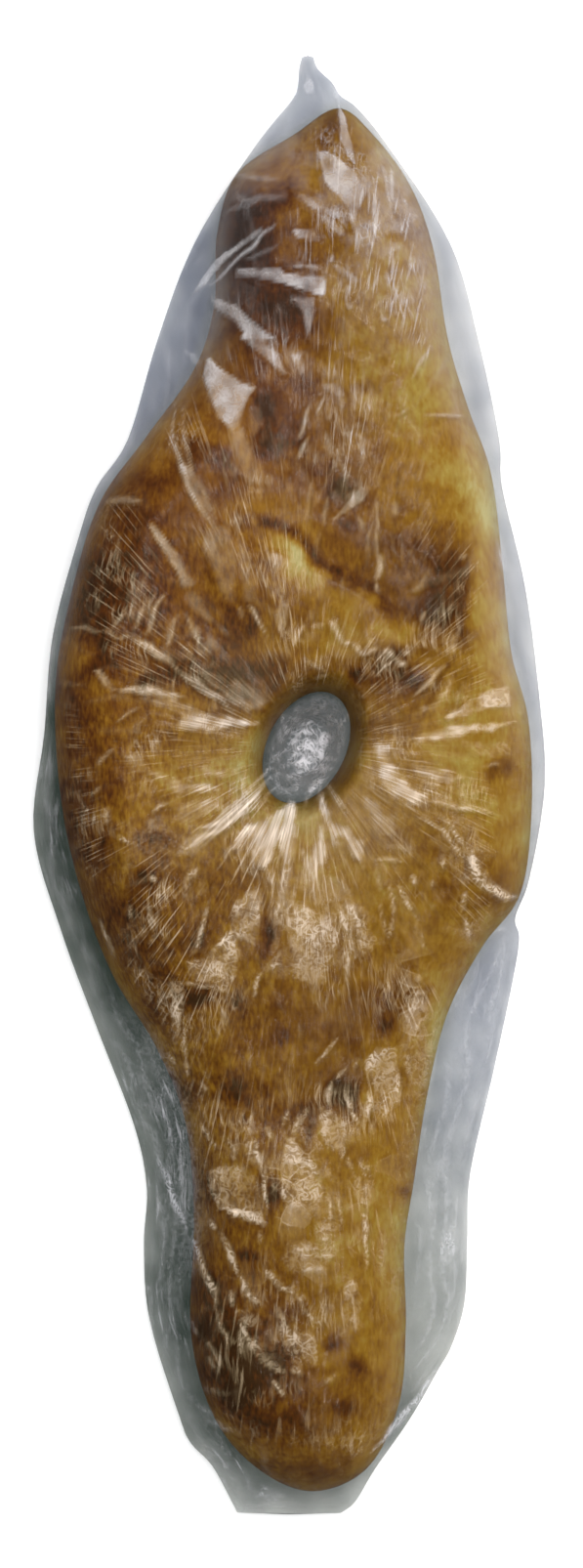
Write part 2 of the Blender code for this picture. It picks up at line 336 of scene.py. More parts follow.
# %% [markdown]
# ## Colours and nodes
# Colours are written as the hex values that a paint program shows, and one function turns them to the
# linear numbers that a renderer counts light in. One more function adds a node with its settings and links.
# Inputs that share a name go by their numbers: 1 to 4 of a Map Range are from min, from max, to min and to
# max, and a Mix takes its share at 0, two numbers at 2 and 3, or two colours at 6 and 7.

# %% Colour and node helpers
def linear(hex_colour):
    """Each sRGB channel c becomes c / 12.92 below 0.04045, and ((c + 0.055) / 1.055)^2.4 above."""
    channels = [int(hex_colour[i : i + 2], 16) / 255 for i in (1, 3, 5)]
    return (*[c / 12.92 if c <= 0.04045 else ((c + 0.055) / 1.055) ** 2.4 for c in channels], 1.0)


def add_node(tree, kind, inputs=None, **settings):
    """A node of this kind; an input is a value, a socket to link from, or a node, for its first socket."""
    node = tree.nodes.new(kind)
    for key, value in settings.items():
        setattr(node, key, value)
    for key, value in (inputs or {}).items():
        if isinstance(value, bpy.types.Node):
            value = value.outputs[0]
        if isinstance(value, bpy.types.NodeSocket):
            tree.links.new(value, node.inputs[key])
        else:
            node.inputs[key].default_value = value
    return node


def new_material(name):
    """An empty node material; its maker adds every node."""
    material = bpy.data.materials.new(name)
    material.use_nodes = True
    material.node_tree.nodes.clear()
    return material, material.node_tree


# %% [markdown]
# ## A ridge along a line
# Laps in the dough and folds in the film are both long, narrow and pointed at their ends. They could be
# drawn as curves with a bevel. A formula does the same for a whole grid of places at once, and the result
# can be added to a height, to a colour or to a haze.

# %% Ridges and bells
def tent(x, y, start, end, width, height, bow=0):
    """A ridge along a bowed chord: it falls in a straight line to the sides, and to a point at both ends."""
    (ax, ay), (bx, by) = start, end
    length = math.hypot(bx - ax, by - ay)
    run, rise = (bx - ax) / length, (by - ay) / length
    along = ((x - ax) * run + (y - ay) * rise) / length
    room = np.clip(4 * along * (1 - along), 0, 1)
    across = (y - ay) * run - (x - ax) * rise - bow * room
    taper = np.sqrt(room)
    return height * taper * np.clip(1 - np.abs(across) / (width * taper + 1e-6), 0, 1)


def add_tents(x, y, rows):
    """The sum of a list of ridges, each written as start x and y, end x and y, width, height and bow."""
    return sum(tent(x, y, (ax, ay), (bx, by), *rest) for ax, ay, bx, by, *rest in rows)


def bell(x, y, middle_x, middle_y, wide, tall, power=2):
    """e to the minus (|dx| / wide)^power + (|dy| / tall)^power: 1 in the middle, near 0 two widths out."""
    return np.exp(-np.abs((x - middle_x) / wide) ** power - np.abs((y - middle_y) / tall) ** power)


# %% [markdown]
# ## The crust's finish
# A shoti's crust is baked wheat dough: matt, floury in places, and brown where it touched the hot clay. A
# photograph projected on the loaf would be the quick way, but it would carry the film's glare with it. Here
# each point of the loaf stores how browned it is, with some painted shade and painted light in the same
# number, a ramp of colours turns that number into crust, and two noises break it up. A mottle of 5 mm is the
# size of the blisters' tops. A grain a little over 1 mm wide is the flour and the burst bubbles.

# %% Crust
MOTTLE_PER_METRE = 190.0  # one wave in 5 mm
GRAIN_PER_METRE = 850.0  # one in 1.2 mm; real flour is finer, but this is the finest that shows
GRAIN_STRETCH = 0.35  # the dough was pulled out lengthways, and its bubbles with it
MOTTLE_SHARE = 0.5
MOTTLE_MEAN = 0.47
CRUST_COLOURS = [
    (0.0, "#af9e6c"),  # floury and hardly baked
    (0.22, "#9f803e"),
    (0.45, "#8d611a"),  # the usual gold
    (0.65, "#71450e"),
    (0.85, "#532a0a"),  # where the dough lay on the clay
    (1.0, "#361d09"),  # scorched tops of blisters
]


def baked_crust():
    """Dull baked dough: browning with its painted shade + half the mottle + the grain picks a colour; the
    mottle is a 0.6 mm bump.
    """
    material, tree = new_material("baked_crust")
    toast_and_shade = add_node(tree, "ShaderNodeAttribute", attribute_name="toast_and_shade")
    place = add_node(tree, "ShaderNodeTexCoord").outputs["Object"]
    blotches = {"Vector": place, "Scale": MOTTLE_PER_METRE, "Detail": 5.0, "Roughness": 0.68}
    mottle = add_node(tree, "ShaderNodeTexNoise", blotches)
    mixed = {0: mottle, 1: MOTTLE_SHARE, 2: toast_and_shade.outputs["Fac"]}
    shifted = add_node(tree, "ShaderNodeMath", mixed, operation="MULTIPLY_ADD")
    pulled = {"Vector": place, "Rotation": (0, 0, 0.6), "Scale": (1, GRAIN_STRETCH, 1)}
    turned = add_node(tree, "ShaderNodeMapping", pulled)
    grain = add_node(tree, "ShaderNodeTexNoise", {"Vector": turned, "Scale": GRAIN_PER_METRE, "Detail": 3.0})
    centred = add_node(tree, "ShaderNodeMath", {0: grain, 1: 0.5}, operation="SUBTRACT")
    coarse = add_node(tree, "ShaderNodeAttribute", attribute_name="grain")
    mixed = {0: centred, 1: coarse.outputs["Fac"], 2: shifted}
    grained = add_node(tree, "ShaderNodeMath", mixed, operation="MULTIPLY_ADD")
    # the mottle's mean comes off again, so that the stored browning and painted shade alone decide the mean
    # colour
    mean = MOTTLE_SHARE * MOTTLE_MEAN
    level = add_node(tree, "ShaderNodeMath", {0: grained, 1: mean}, operation="SUBTRACT")
    ramp = add_node(tree, "ShaderNodeValToRGB", {"Fac": level})
    while len(ramp.color_ramp.elements) < len(CRUST_COLOURS):
        ramp.color_ramp.elements.new(0.5)
    for element, (at, colour) in zip(ramp.color_ramp.elements, CRUST_COLOURS):
        element.position, element.color = at, linear(colour)
    # the right half of the loaf is a yellower gold than the left
    golden = add_node(tree, "ShaderNodeAttribute", attribute_name="golden")
    tones = {0: golden.outputs["Fac"], 6: ramp, 7: linear("#f3ffef")}
    tone = add_node(tree, "ShaderNodeMix", tones, data_type="RGBA", blend_type="MULTIPLY")
    bump = add_node(tree, "ShaderNodeBump", {"Height": mottle, "Strength": 0.4, "Distance": 0.6 * MM})
    # starch has an IOR near 1.5, but flour and tiny bubbles scatter the shine, so little of it is left
    look = {"Base Color": tone.outputs[2], "Normal": bump}
    look |= {"Roughness": 0.75, "IOR": 1.5, "Specular IOR Level": 0.15}
    shader = add_node(tree, "ShaderNodeBsdfPrincipled", look)
    add_node(tree, "ShaderNodeOutputMaterial", {"Surface": shader})
    return material


# %% [markdown]
# ## Where the crust is browned, and where shade is painted on it
# The oven browned this loaf unevenly: pale on the right shoulder, scorched on some blisters. The dark at the
# left is partly that browning and partly painted shade, the dark line along the lap over the hole is a
# painted shadow under its edge, and the hole's paler wall is painted light. This could be painted on by hand.
# Here it is a list of bells and ridges, each read off the picture in millimetres from its middle: x, y, half
# width, half height, and how much darker, or paler where it is negative. Slow waves bend the large ones, so
# none looks like an oval.

# %% Browning
TOAST_SPOTS = [
    # the upper lobe
    (11.5, 227.5, 6, 5, 0.18), (35.5, 222, 8.5, 10, -0.1), (-4, 208, 10, 7, 0.16), (52.5, 202, 8, 9, 0.14),
    (-10.5, 200, 10, 7.5, 0.4), (46, 192, 7, 12, 0.1), (-16.5, 186.5, 9, 12, 0.34),
    (-14, 185, 9, 10, 0.32), (-12, 185, 8, 8, -0.05), (3, 185, 8, 8, 0.13), (-27, 180, 6, 28, 0.16),
    (19, 180, 9, 9, 0.07), (3, 177, 8, 10, 0.08), (35.5, 171, 13.5, 18.5, -0.14), (35, 169, 9, 9, 0.09),
    (-3.5, 168, 12, 10, 0.38), (-10, 160, 10, 8, 0.14), (1.5, 160, 10, 9, 0.12), (-14, 153, 9, 8, -0.06),
    (3, 153, 8, 8, 0.1), (-14, 150, 9, 9, 0.1), (-14, 145, 9, 15, 0.2), (11.5, 144, 10, 10, -0.08),
    (36, 142, 14, 12, -0.06), (28, 137, 3, 2, 0.15), (45.5, 137, 13.5, 13.5, -0.18),
    (-14, 136, 9, 8, -0.1), (-14, 136, 9, 18, -0.05), (3, 136, 8, 8, 0.14), (3, 136, 9, 9, 0.12),
    (19, 136, 9, 9, 0.14), (-6, 134, 16, 9, 0.15), (-7, 131, 5, 5, 0.16), (-7.5, 129.5, 3, 3, 0.35),
    (-40, 120, 13, 9, -0.12), (-30, 120, 9, 9, -0.12), (-12, 120, 11, 9, -0.22), (-10, 120, 12, 8, 0.1),
    (-8, 120, 12, 8, 0.06), (-3.5, 118.5, 8, 8, 0.26), (52.5, 118.5, 4, 3, 0.12), (-4, 118, 4, 5, 0.12),
    (-2, 118, 8, 14, 0.05), (-31, 113.5, 10, 10, 0.18), (49, 113.5, 10, 8.5, -0.14),
    (19, 112, 9, 14, 0.08), (60, 112, 12, 22, -0.12), (52, 110, 9, 12, 0.1),
    # round the hole
    (18, 108, 10, 10, 0.08), (10, 104, 16, 8, 0.08), (18.5, 104, 2, 2.8, 0.4), (22, 104, 6, 8, 0.15),
    (-49.5, 103, 15.5, 12, 0.26), (18.5, 103, 8, 7.5, 0.28), (25, 102, 40, 9, 0.05),
    (-25, 100, 10, 16, 0.08), (66, 100, 7.5, 13.5, -0.2), (59.5, 97, 3, 2.5, 0.2), (-46, 96, 9, 14, -0.08),
    (20, 89.3, 3.3, 2, 0.4), (-62, 87, 9, 8, -0.12), (19, 87, 9, 8, 0.18), (70, 85, 8, 22, 0.14),
    (-44, 84, 14, 14, 0.06), (35, 82, 10, 9, 0.2), (-56.5, 81, 13.5, 13.5, 0.22), (2, 76.5, 6, 7.5, -0.35),
    (16.5, 75.5, 2.5, 2, 0.2), (57, 72, 4, 4, 0.15), (68, 72, 9, 12, 0.12), (19, 71, 8, 7, 0.26),
    (52, 71, 9, 8, -0.1), (48, 70, 12, 8, -0.08), (52, 70, 13, 14, 0.5), (-70, 69, 10, 18.5, 0.28),
    (15, 69, 2.2, 3, 0.2), (70, 69, 5, 32.5, -0.26), (50, 68, 5, 6, 0.15), (24, 67.3, 5, 2, 0.25),
    (-62, 66, 9, 16, 0.12), (-62, 63, 8, 16, 0.08), (-46, 63, 9, 12, 0.1), (-32.5, 62.5, 13.5, 13.5, 0.12),
    (33.5, 62.5, 8.5, 7, 0.15), (-10, 62, 12, 10, 0.08), (44, 62, 9, 7, 0.15), (20, 60, 20, 11, -0.14),
    (-78, 57, 4, 6, 0.25), (-12, 56.5, 2, 4.5, 0.4), (52, 56, 9, 7, 0.1), (-19, 55.5, 6, 7.5, 0.26),
    (-46, 55, 9, 9, 0.08), (3, 55, 8, 8, 0.1), (52, 55, 9, 6, 0.15), (52, 55, 9, 7, 0.1),
    (52, 55, 8, 8, 0.1), (38, 52, 10, 6, -0.1), (11.5, 50.5, 10, 4, -0.15), (-62, 46, 9, 14, 0.1),
    (-63.5, 45, 3, 4.5, 0.35), (-74, 42, 4, 7, -0.3), (-46, 39, 9, 8, 0.12), (-30, 39, 10, 6, 0.16),
    (26, 39, 9, 8, 0.24), (23.3, 38.8, 2, 1.6, 0.3), (6.5, 38.5, 10, 3.5, 0.12), (22.5, 38.5, 2, 2, 0.3),
    (39, 38.5, 6, 5.5, 0.36), (-36, 38, 14, 8, 0.18), (-31, 38, 10, 8, 0.14), (-30, 38, 9, 8, 0.08),
    (-14, 38, 8, 8, 0.1), (-7, 38, 12, 5, 0.12), (19, 38, 7, 7, -0.14), (-15, 36, 9, 7, 0.25),
    (39.5, 35.5, 3.5, 4, 0.3), (-76, 35, 6, 17, 0.28), (-49, 35, 2, 1.8, 0.4), (-43, 35, 7, 4, 0.2),
    (-16, 31, 4, 2, 0.3), (43, 30, 12, 12, 0.08), (60, 24, 14, 8, -0.1), (19, 22, 7, 8, 0.1),
    (35, 22, 8, 7, 0.16), (-2, 21.5, 3.5, 3.5, 0.1), (-44, 14, 14, 12, -0.06), (-12, 13, 5, 9, -0.12),
    (25, 11, 5, 8, -0.1), (52, 11, 10, 8, -0.14), (-77, 8, 9, 14, -0.15), (-22.5, 8, 13.5, 5.5, -0.12),
    (-14, 8, 7, 16, -0.12), (75.5, 5.5, 2.3, 2.5, 0.35), (60, 5, 14, 10, -0.12),
    (-69.5, 4.5, 10, 17, 0.22), (71, 4.5, 2.5, 3, 0.26), (-32.5, 1, 15.5, 9, -0.18),
    (-14, 0, 7, 14, -0.15), (-70, -8, 12, 14, 0.08), (-62, -8, 16, 40, -0.1), (-30, -10, 12, 10, -0.1),
    (2, -10, 9, 5, -0.15), (-12, -12, 10, 8, -0.06), (11.5, -12.5, 17, 8.5, -0.14), (2, -13, 9, 6, -0.12),
    (66, -14, 9, 9, 0.06), (68, -15, 8, 10, 0.08), (42, -16, 13.5, 7.5, 0.1), (-46, -18, 5, 2.5, 0.2),
    (69.5, -19, 9, 17, -0.16), (-66, -20, 9, 12, 0.05), (-56, -20, 12, 12, -0.06),
    (-73, -22.5, 8.5, 17, 0.3), (-46, -26, 10, 10, 0.15), (35, -27, 10, 10, -0.12), (35, -27, 9, 9, 0.1),
    (52, -27, 9, 10, 0.1), (61.5, -27, 1.8, 5, 0.2), (68, -27, 9, 12, 0.14), (-52, -31, 4, 2.5, 0.3),
    (-46, -32, 9, 14, 0.09), (73, -32, 4, 3, 0.15), (-12, -33, 10, 7, 0.15), (8, -33, 16, 10, -0.04),
    (-46, -35, 9, 12, 0.08), (52, -38, 8, 5, 0.12), (-62, -43, 8, 12, -0.12), (-58, -44.5, 11, 13.5, 0.26),
    (5, -48, 6, 7, -0.16), (-30, -50, 9, 11, 0.1), (-7, -50, 3, 5.5, 0.4), (-31, -54, 2.5, 5, 0.35),
    (-49.5, -63.5, 8.5, 7, 0.2), (-32, -73, 5, 4, 0.25), (-17, -73, 2.5, 5, 0.2), (-33, -74.5, 5, 2, 0.35),
    # the waist
    (-46, -76, 7, 9, 0.14), (-44, -76, 10, 8, 0.1), (-22, -76, 14, 8, 0.1), (-14, -76, 9, 8, 0.14),
    (27, -76, 16, 8, 0.12), (35, -76, 9, 8, 0.16), (1.5, -82, 14, 6, 0.08), (33.5, -82, 3.5, 2.5, 0.2),
    (33, -82.5, 4, 2.5, 0.15), (18, -84, 10, 9, 0.2), (49, -84, 5.5, 17, -0.1), (52, -85, 7, 22, -0.16),
    (-2.5, -87, 3.5, 3, 0.28), (17.5, -103.5, 3, 4, 0.3), (18.5, -104, 6, 5, 0.6),
    (-37.5, -105, 4, 5, 0.55), (22, -105, 6, 5, 0.12), (-17.5, -106, 4, 3.5, 0.45), (24, -107, 2, 6, 0.3),
    (28.5, -107.5, 3.5, 4, -0.2), (-29, -108, 9, 8, 0.12), (-12, -108, 10, 7, 0.1), (3, -108, 8, 8, 0.06),
    (8, -108, 13, 7, 0.08), (12, -108, 12, 7, 0.06), (19, -108, 8, 8, 0.08), (1.5, -112, 12, 8, 0.1),
    (5, -118, 3, 6, 0.2), (7, -120, 1.6, 6, 0.35), (28.5, -124.5, 10, 10, -0.14), (-14, -125, 8, 8, 0.1),
    # the lower lobe
    (25, -129, 3, 5, 0.15), (-24, -135, 8.5, 8.5, -0.2), (5.5, -136.5, 8.5, 10, -0.26),
    (-30, -140, 8, 16, 0.13), (-4.5, -140, 2.5, 4, 0.65), (39, -140, 2, 2.5, 0.24),
    (-30, -141, 7, 12, 0.16), (-30, -141, 8, 8, 0.1), (-28, -141, 9, 9, 0.08), (-14, -141, 9, 8, 0.06),
    (-12, -141, 8, 8, 0.05), (-2, -141, 12, 8, 0.1), (3, -141, 8, 8, 0.08), (40, -141, 2.5, 2.5, 0.12),
    (-4.7, -142.5, 2.2, 5, 0.35), (35, -157, 7, 12, 0.08), (15, -160.5, 8.5, 7, -0.2),
    (-14, -161.5, 3, 2.6, 0.75), (35.5, -165.5, 6, 20.5, -0.22), (28, -174, 12, 12, -0.12),
    (-5, -175.5, 4, 2.5, 0.15), (29.5, -176, 1.2, 2.5, 0.2), (-28.5, -177.5, 7, 13.5, 0.34),
    (-2, -182.5, 8, 5.5, 0.22), (-30, -185, 8, 26, 0.13), (-22, -189, 10, 12, 0.2),
    (-30, -190, 8, 9, 0.08), (-14, -190, 9, 8, 0.14), (-14, -190, 9, 18, 0.13), (42, -192.5, 3, 3, 0.2),
    (-14, -193, 9, 12, 0.12), (16.5, -193.5, 3.5, 2.5, 0.65), (-2, -197, 10, 10, 0.12),
    (11.5, -197.5, 7, 5.5, -0.12), (24, -200, 2.5, 2.5, 0.22), (23.5, -201, 3, 2, 0.2),
    (-17.5, -203, 16.5, 14.5, 0.32), (30, -203, 10, 10, 0.07), (-30, -206, 8, 8, 0.12),
    (-14, -206, 10, 12, 0.16), (-14, -206, 9, 9, 0.18), (20, -214.5, 5, 2.5, 0.3),
    (0, -218, 1.8, 1.4, 0.25), (1.5, -218, 14.5, 7.5, 0.2), (-5, -222, 14, 8, 0.08),
    (19, -222, 10, 7, 0.08), (-14, -223, 10, 8, 0.1), (3, -232, 9, 9, -0.07), (1.5, -238, 22, 5, 0.25),
]
TOAST_AND_SHADOW_LINES = [  # start x and y, end x and y, half width, how much darker, and bow; the first is a painted shadow under the lap's edge
    (-12, 94, 18.5, 72, 3.5, 0.6, 1), (18.5, 72, 37, 61.5, 2.5, 0.25, 1), (-6, 82.5, 17, 65, 8, -0.35, 1),
    (62.5, 78, 60.5, 44, 3, 0.3, -1.5), (60.5, 46, 45, 21, 3, 0.22, -2), (68, 100, 66, 40, 6, -0.3, -2),
    (-38, 121, -12, 96, 4, 0.2, 2), (-74, 36, -60, 45, 3, 0.2, 1), (-6, 24, -18, 38, 4, 0.15, 1),
    (-6, -46, -9, -62, 3.5, 0.25), (-19, 97, -12, 89, 2, 0.25), (-12, 89, 0, 88, 2, 0.3, 1),
    (22, 34, 44, 47, 5, 0.2, 1), (-14, 152, -6, 118, 5, 0.15, 2),
]
EVEN_GOLD = 0.55
LEFT_TOAST_AND_SHADE = 0.0013  # for each mm; partly browning, partly painted shade on the side away from the light
BENT_FULLY = 8.0  # spots at least this large follow the slow waves, smaller ones stay near their places
TOAST_KNEE = 0.85  # past this, more heat darkens the crust by only a share
PAST_THE_KNEE = 0.45
SLOW_WAVES = 3.5
BROAD_MOTTLE = 0.05
FINE_MOTTLE = 0.04
PALER_WALL_PAINTED_LIGHT = 0.12  # of the hole, painted light that lifts the shade in its wall; and of the loaf's sides, which never met the clay
PALER_SIDE = 0.14


def toast_and_shade_level(x, y):
    """An even gold + the listed ridges and bells, moved by up to 3.5 mm of slow waves, + a faint mottle."""
    warp_x, warp_y = (SLOW_WAVES * rough(x, y, 14, 40, 8, seed) for seed in (5, 6))
    level = EVEN_GOLD - LEFT_TOAST_AND_SHADE * x
    level += BROAD_MOTTLE * rough(x, y, 25, 60, 10, seed=8) + FINE_MOTTLE * rough(x, y, 5, 14, 14, seed=9)
    level -= PALER_WALL_PAINTED_LIGHT * smooth_step(hole_edge(x, y), 5, 0)
    level += add_tents(x + warp_x / 3, y + warp_y / 3, TOAST_AND_SHADOW_LINES)
    for spot_x, spot_y, wide, tall, darker in TOAST_SPOTS:
        bend = min(1, min(wide, tall) / BENT_FULLY)
        level += darker * bell(x + bend * warp_x, y + bend * warp_y, spot_x, spot_y, wide, tall)
    return np.minimum(level, TOAST_KNEE) + PAST_THE_KNEE * np.clip(level - TOAST_KNEE, 0, None)


print("browning:", len(TOAST_SPOTS), "spots and", len(TOAST_AND_SHADOW_LINES), "lines")

# %% [markdown]
# ## The loaf
# The loaf is a thick ring: it has one hole, so it could be a torus that is pushed into shape. Sculpting
# would lose the measured outline. Here rays run from the hole's wall to the outline, over the top and back
# under the loaf, and every point takes its height from the crust's formula. The points lie closer together
# at both ends of a ray, where the surface turns down.

# %% The loaf's ring of points
RAYS = 700
LOAF_TOP_POINTS = 108
LOAF_UNDER_POINTS = 32
OVER_EASE = 0.7  # how much of the even spacing gives way to a cosine's
UNDER_EASE = 0.8


def eased(count, ends):
    """count numbers from 0 to 1, closer together at both ends: a share ends of a cosine, the rest even."""
    even = np.linspace(0, 1, count)
    return ends * (0.5 - 0.5 * np.cos(math.pi * even)) + (1 - ends) * even


def loaf_points():
    """Rays from the hole's wall to the outline: over the top outwards, then back under the loaf."""
    line = smooth_line(LOAF_OUTLINE, 24, closed=True)
    length = np.concatenate([[0], np.cumsum(np.hypot(*np.diff(line, axis=0, append=line[:1]).T))])
    at = np.linspace(0, length[-1], RAYS, endpoint=False)
    looped = np.vstack([line, line[:1]])
    outer = np.stack([np.interp(at, length, looped[:, k]) for k in (0, 1)], axis=-1)
    away = outer - np.array(HOLE_CENTRE)
    inner = np.array(HOLE_CENTRE) + away / hole_share(outer[:, 0], outer[:, 1])[:, None]
    over = eased(LOAF_TOP_POINTS, OVER_EASE)
    under = eased(LOAF_UNDER_POINTS + 2, UNDER_EASE)[-2:0:-1]
    share = np.concatenate([over, under])[None, :, None]
    flat = inner[:, None] + (outer - inner)[:, None] * share
    x, y = flat[..., 0], flat[..., 1]
    inwards = np.clip(-distance_outside(x, y, line), 0, None)
    is_top = np.arange(share.shape[1]) < LOAF_TOP_POINTS
    z = np.where(is_top, crust_height(x, y, inwards), under_height(x, y, inwards))
    return np.stack([x, y, z], axis=-1)


ring = loaf_points()
x, y = ring[..., 0], ring[..., 1]
inwards = -distance_outside(x, y, loaf_line)
print("loaf from", ring.min(axis=(0, 1)).round(1), "to", ring.max(axis=(0, 1)).round(1), "mm")

# %% The loaf
toast_and_shade = toast_and_shade_level(x, y) - PALER_SIDE * smooth_step(inwards, 7, 0)
# yellower towards the lower right, and on the right of the upper lobe; the grain is coarsest at the left
golden = smooth_step(x - 0.8 * y, -130, 0)
golden = np.maximum(golden, smooth_step(x, -10, 20) * smooth_step(y, 90, 130))
grain = 0.4 + 0.32 * smooth_step(x, 20, -30) * smooth_step(y, 110, 60)
make_piece(
    "shoti_loaf",
    ring.reshape(-1, 3),
    grid_faces(*ring.shape[:2], closed_rows=True),
    np.empty((0, 3), int),
    {"toast_and_shade": toast_and_shade, "golden": golden, "grain": grain},
    baked_crust(),
)
print("toast from", round(float(toast_and_shade.min()), 2), "to", round(float(toast_and_shade.max()), 2))

# %% [markdown]
# ## The film's finish
# The bag is clear low-density polythene film, about 0.03 mm thick, blown as a tube. Its IOR is 1.51, so it
# mirrors 4 % of the light that meets it square on, and more at a slant. A glass shader would bend the light
# through every crease and render slowly. Film this thin doesn't bend light, so a see-through shader with a
# mirror over it does as well. What the eye takes for film is the haze where it's creased, and that is a
# share of plain white over the see-through part: strong in a fold, faint where the film is only slack. That
# white is partly the creased film's own whitening and partly painted highlight, standing in for the glints
# of its folds, facets, crumples and fine creases.

# %% Creases that are drawn towards the hole
CRINKLES_PER_METRE = 330.0  # 3 mm; each crinkle is the ridge between two of its waves
STROKES_PER_METRE = 380.0  # 2.6 mm
STROKES = [(0.5, 0.08), (-0.9, 0.08), (1.4, 0.1)]  # the way and the squeeze of three sets of long creases
WANDER_PER_METRE = 90.0  # 11 mm, the slow waves that bend them and gather them in places
PANES_PER_METRE = 150.0  # 7 mm, the flat panes of slack film
EACH_STROKE = 0.45  # the height of each set of strokes in the bump, beside 1 for the streaks
STREAK_HAZE = 0.2
STROKE_HAZE = 0.12
SEAM_HAZE = 1.2  # times how slack the film is


def drawn_creases(tree):
    """Noise on two stored maps of the film: the one used near the hole runs towards it."""
    nearness = add_node(tree, "ShaderNodeAttribute", attribute_name="near_hole")
    noises = []
    for name in ("streaks_far", "streaks_near"):
        way = add_node(tree, "ShaderNodeAttribute", attribute_name=name)
        noise = {"Vector": way.outputs["Vector"], "Scale": 1.0, "Detail": 2.0}
        noises.append(add_node(tree, "ShaderNodeTexNoise", noise))
    streak = add_node(tree, "ShaderNodeMix", {0: nearness.outputs["Fac"], 2: noises[0], 3: noises[1]})
    return nearness.outputs["Fac"], streak


def straight_creases(tree, bent):
    """One stretched noise for each way in STROKES, on places bent by slow waves."""
    waves = []
    for turn, squeeze in STROKES:
        stretch = {"Vector": bent, "Rotation": (0, 0, turn), "Scale": (1, squeeze, 1)}
        way = add_node(tree, "ShaderNodeMapping", stretch)
        noise = {"Vector": way, "Scale": STROKES_PER_METRE, "Detail": 1.0}
        waves.append(add_node(tree, "ShaderNodeTexNoise", noise))
    return waves


# %% How hazy the film is
def crease_and_glint_haze(tree, place, nearness, streak):
    """The stored crease and painted glint times a pattern: crinkles of 3 mm, or threads towards the hole near
    it.
    """
    noise = {"Vector": place, "Scale": CRINKLES_PER_METRE, "Detail": 2.0, "Distortion": 1.0}
    crinkle = add_node(tree, "ShaderNodeTexNoise", noise)
    ridge = add_node(tree, "ShaderNodeMath", {0: crinkle, 1: 0.5}, operation="SUBTRACT")
    ridge = add_node(tree, "ShaderNodeMath", {0: ridge}, operation="ABSOLUTE")
    lines = add_node(tree, "ShaderNodeMapRange", {"Value": ridge, 1: 0.0, 2: 0.11, 3: 1.75, 4: 0.5})
    crinkled = add_node(tree, "ShaderNodeAttribute", attribute_name="crinkled")
    lines = add_node(tree, "ShaderNodeMix", {0: crinkled.outputs["Fac"], 2: 1.0, 3: lines})
    strands = add_node(tree, "ShaderNodeMapRange", {"Value": streak, 1: 0.36, 2: 0.64, 3: 0.62, 4: 1.38})
    pattern = add_node(tree, "ShaderNodeMix", {0: nearness, 2: lines, 3: strands})
    crease_and_glint = add_node(tree, "ShaderNodeAttribute", attribute_name="crease_and_glint")
    return add_node(tree, "ShaderNodeMath", {0: crease_and_glint.outputs["Fac"], 1: pattern}, operation="MULTIPLY")


def hair_haze(tree, haze, streak, waves, gather):
    """Adds hair-fine creases: the crests of the streaks, and of the strokes where slow waves gather them."""
    loose = add_node(tree, "ShaderNodeAttribute", attribute_name="hair").outputs["Fac"]
    hair = add_node(tree, "ShaderNodeMapRange", {"Value": streak, 1: 0.57, 2: 0.68, 3: 0.0, 4: STREAK_HAZE})
    haze = add_node(tree, "ShaderNodeMath", {0: hair, 1: loose, 2: haze}, operation="MULTIPLY_ADD")
    for wave in waves:
        crest = add_node(tree, "ShaderNodeMath", {0: wave, 1: 0.5}, operation="SUBTRACT")
        crest = add_node(tree, "ShaderNodeMath", {0: crest}, operation="ABSOLUTE")
        fade = {"Value": crest, 1: 0.0, 2: 0.04, 3: STROKE_HAZE, 4: 0.0}
        crest = add_node(tree, "ShaderNodeMapRange", fade)
        some = add_node(tree, "ShaderNodeMath", {0: crest, 1: gather}, operation="MULTIPLY")
        haze = add_node(tree, "ShaderNodeMath", {0: some, 1: loose, 2: haze}, operation="MULTIPLY_ADD")
    return haze


def pane_haze(tree, haze, bent, gather):
    """Adds panes of slack film: every other Voronoi cell is a little hazy, and so are some of the seams."""
    slack = add_node(tree, "ShaderNodeAttribute", attribute_name="slack").outputs["Fac"]
    where = {"Vector": bent, "Scale": PANES_PER_METRE}
    cells = add_node(tree, "ShaderNodeTexVoronoi", where, voronoi_dimensions="2D")
    pane = add_node(tree, "ShaderNodeSeparateXYZ", {0: cells.outputs["Color"]})
    pane = add_node(tree, "ShaderNodeMapRange", {"Value": pane, 1: 0.5, 2: 1.0, 3: 0.0, 4: 1.0})
    haze = add_node(tree, "ShaderNodeMath", {0: pane, 1: slack, 2: haze}, operation="MULTIPLY_ADD")
    kind = {"voronoi_dimensions": "2D", "feature": "DISTANCE_TO_EDGE"}
    edges = add_node(tree, "ShaderNodeTexVoronoi", where, **kind)
    seam = add_node(tree, "ShaderNodeMapRange", {"Value": edges, 1: 0.0, 2: 0.07, 3: SEAM_HAZE, 4: 0.0})
    seam = add_node(tree, "ShaderNodeMath", {0: seam, 1: gather}, operation="MULTIPLY")
    return add_node(tree, "ShaderNodeMath", {0: seam, 1: slack, 2: haze}, operation="MULTIPLY_ADD")


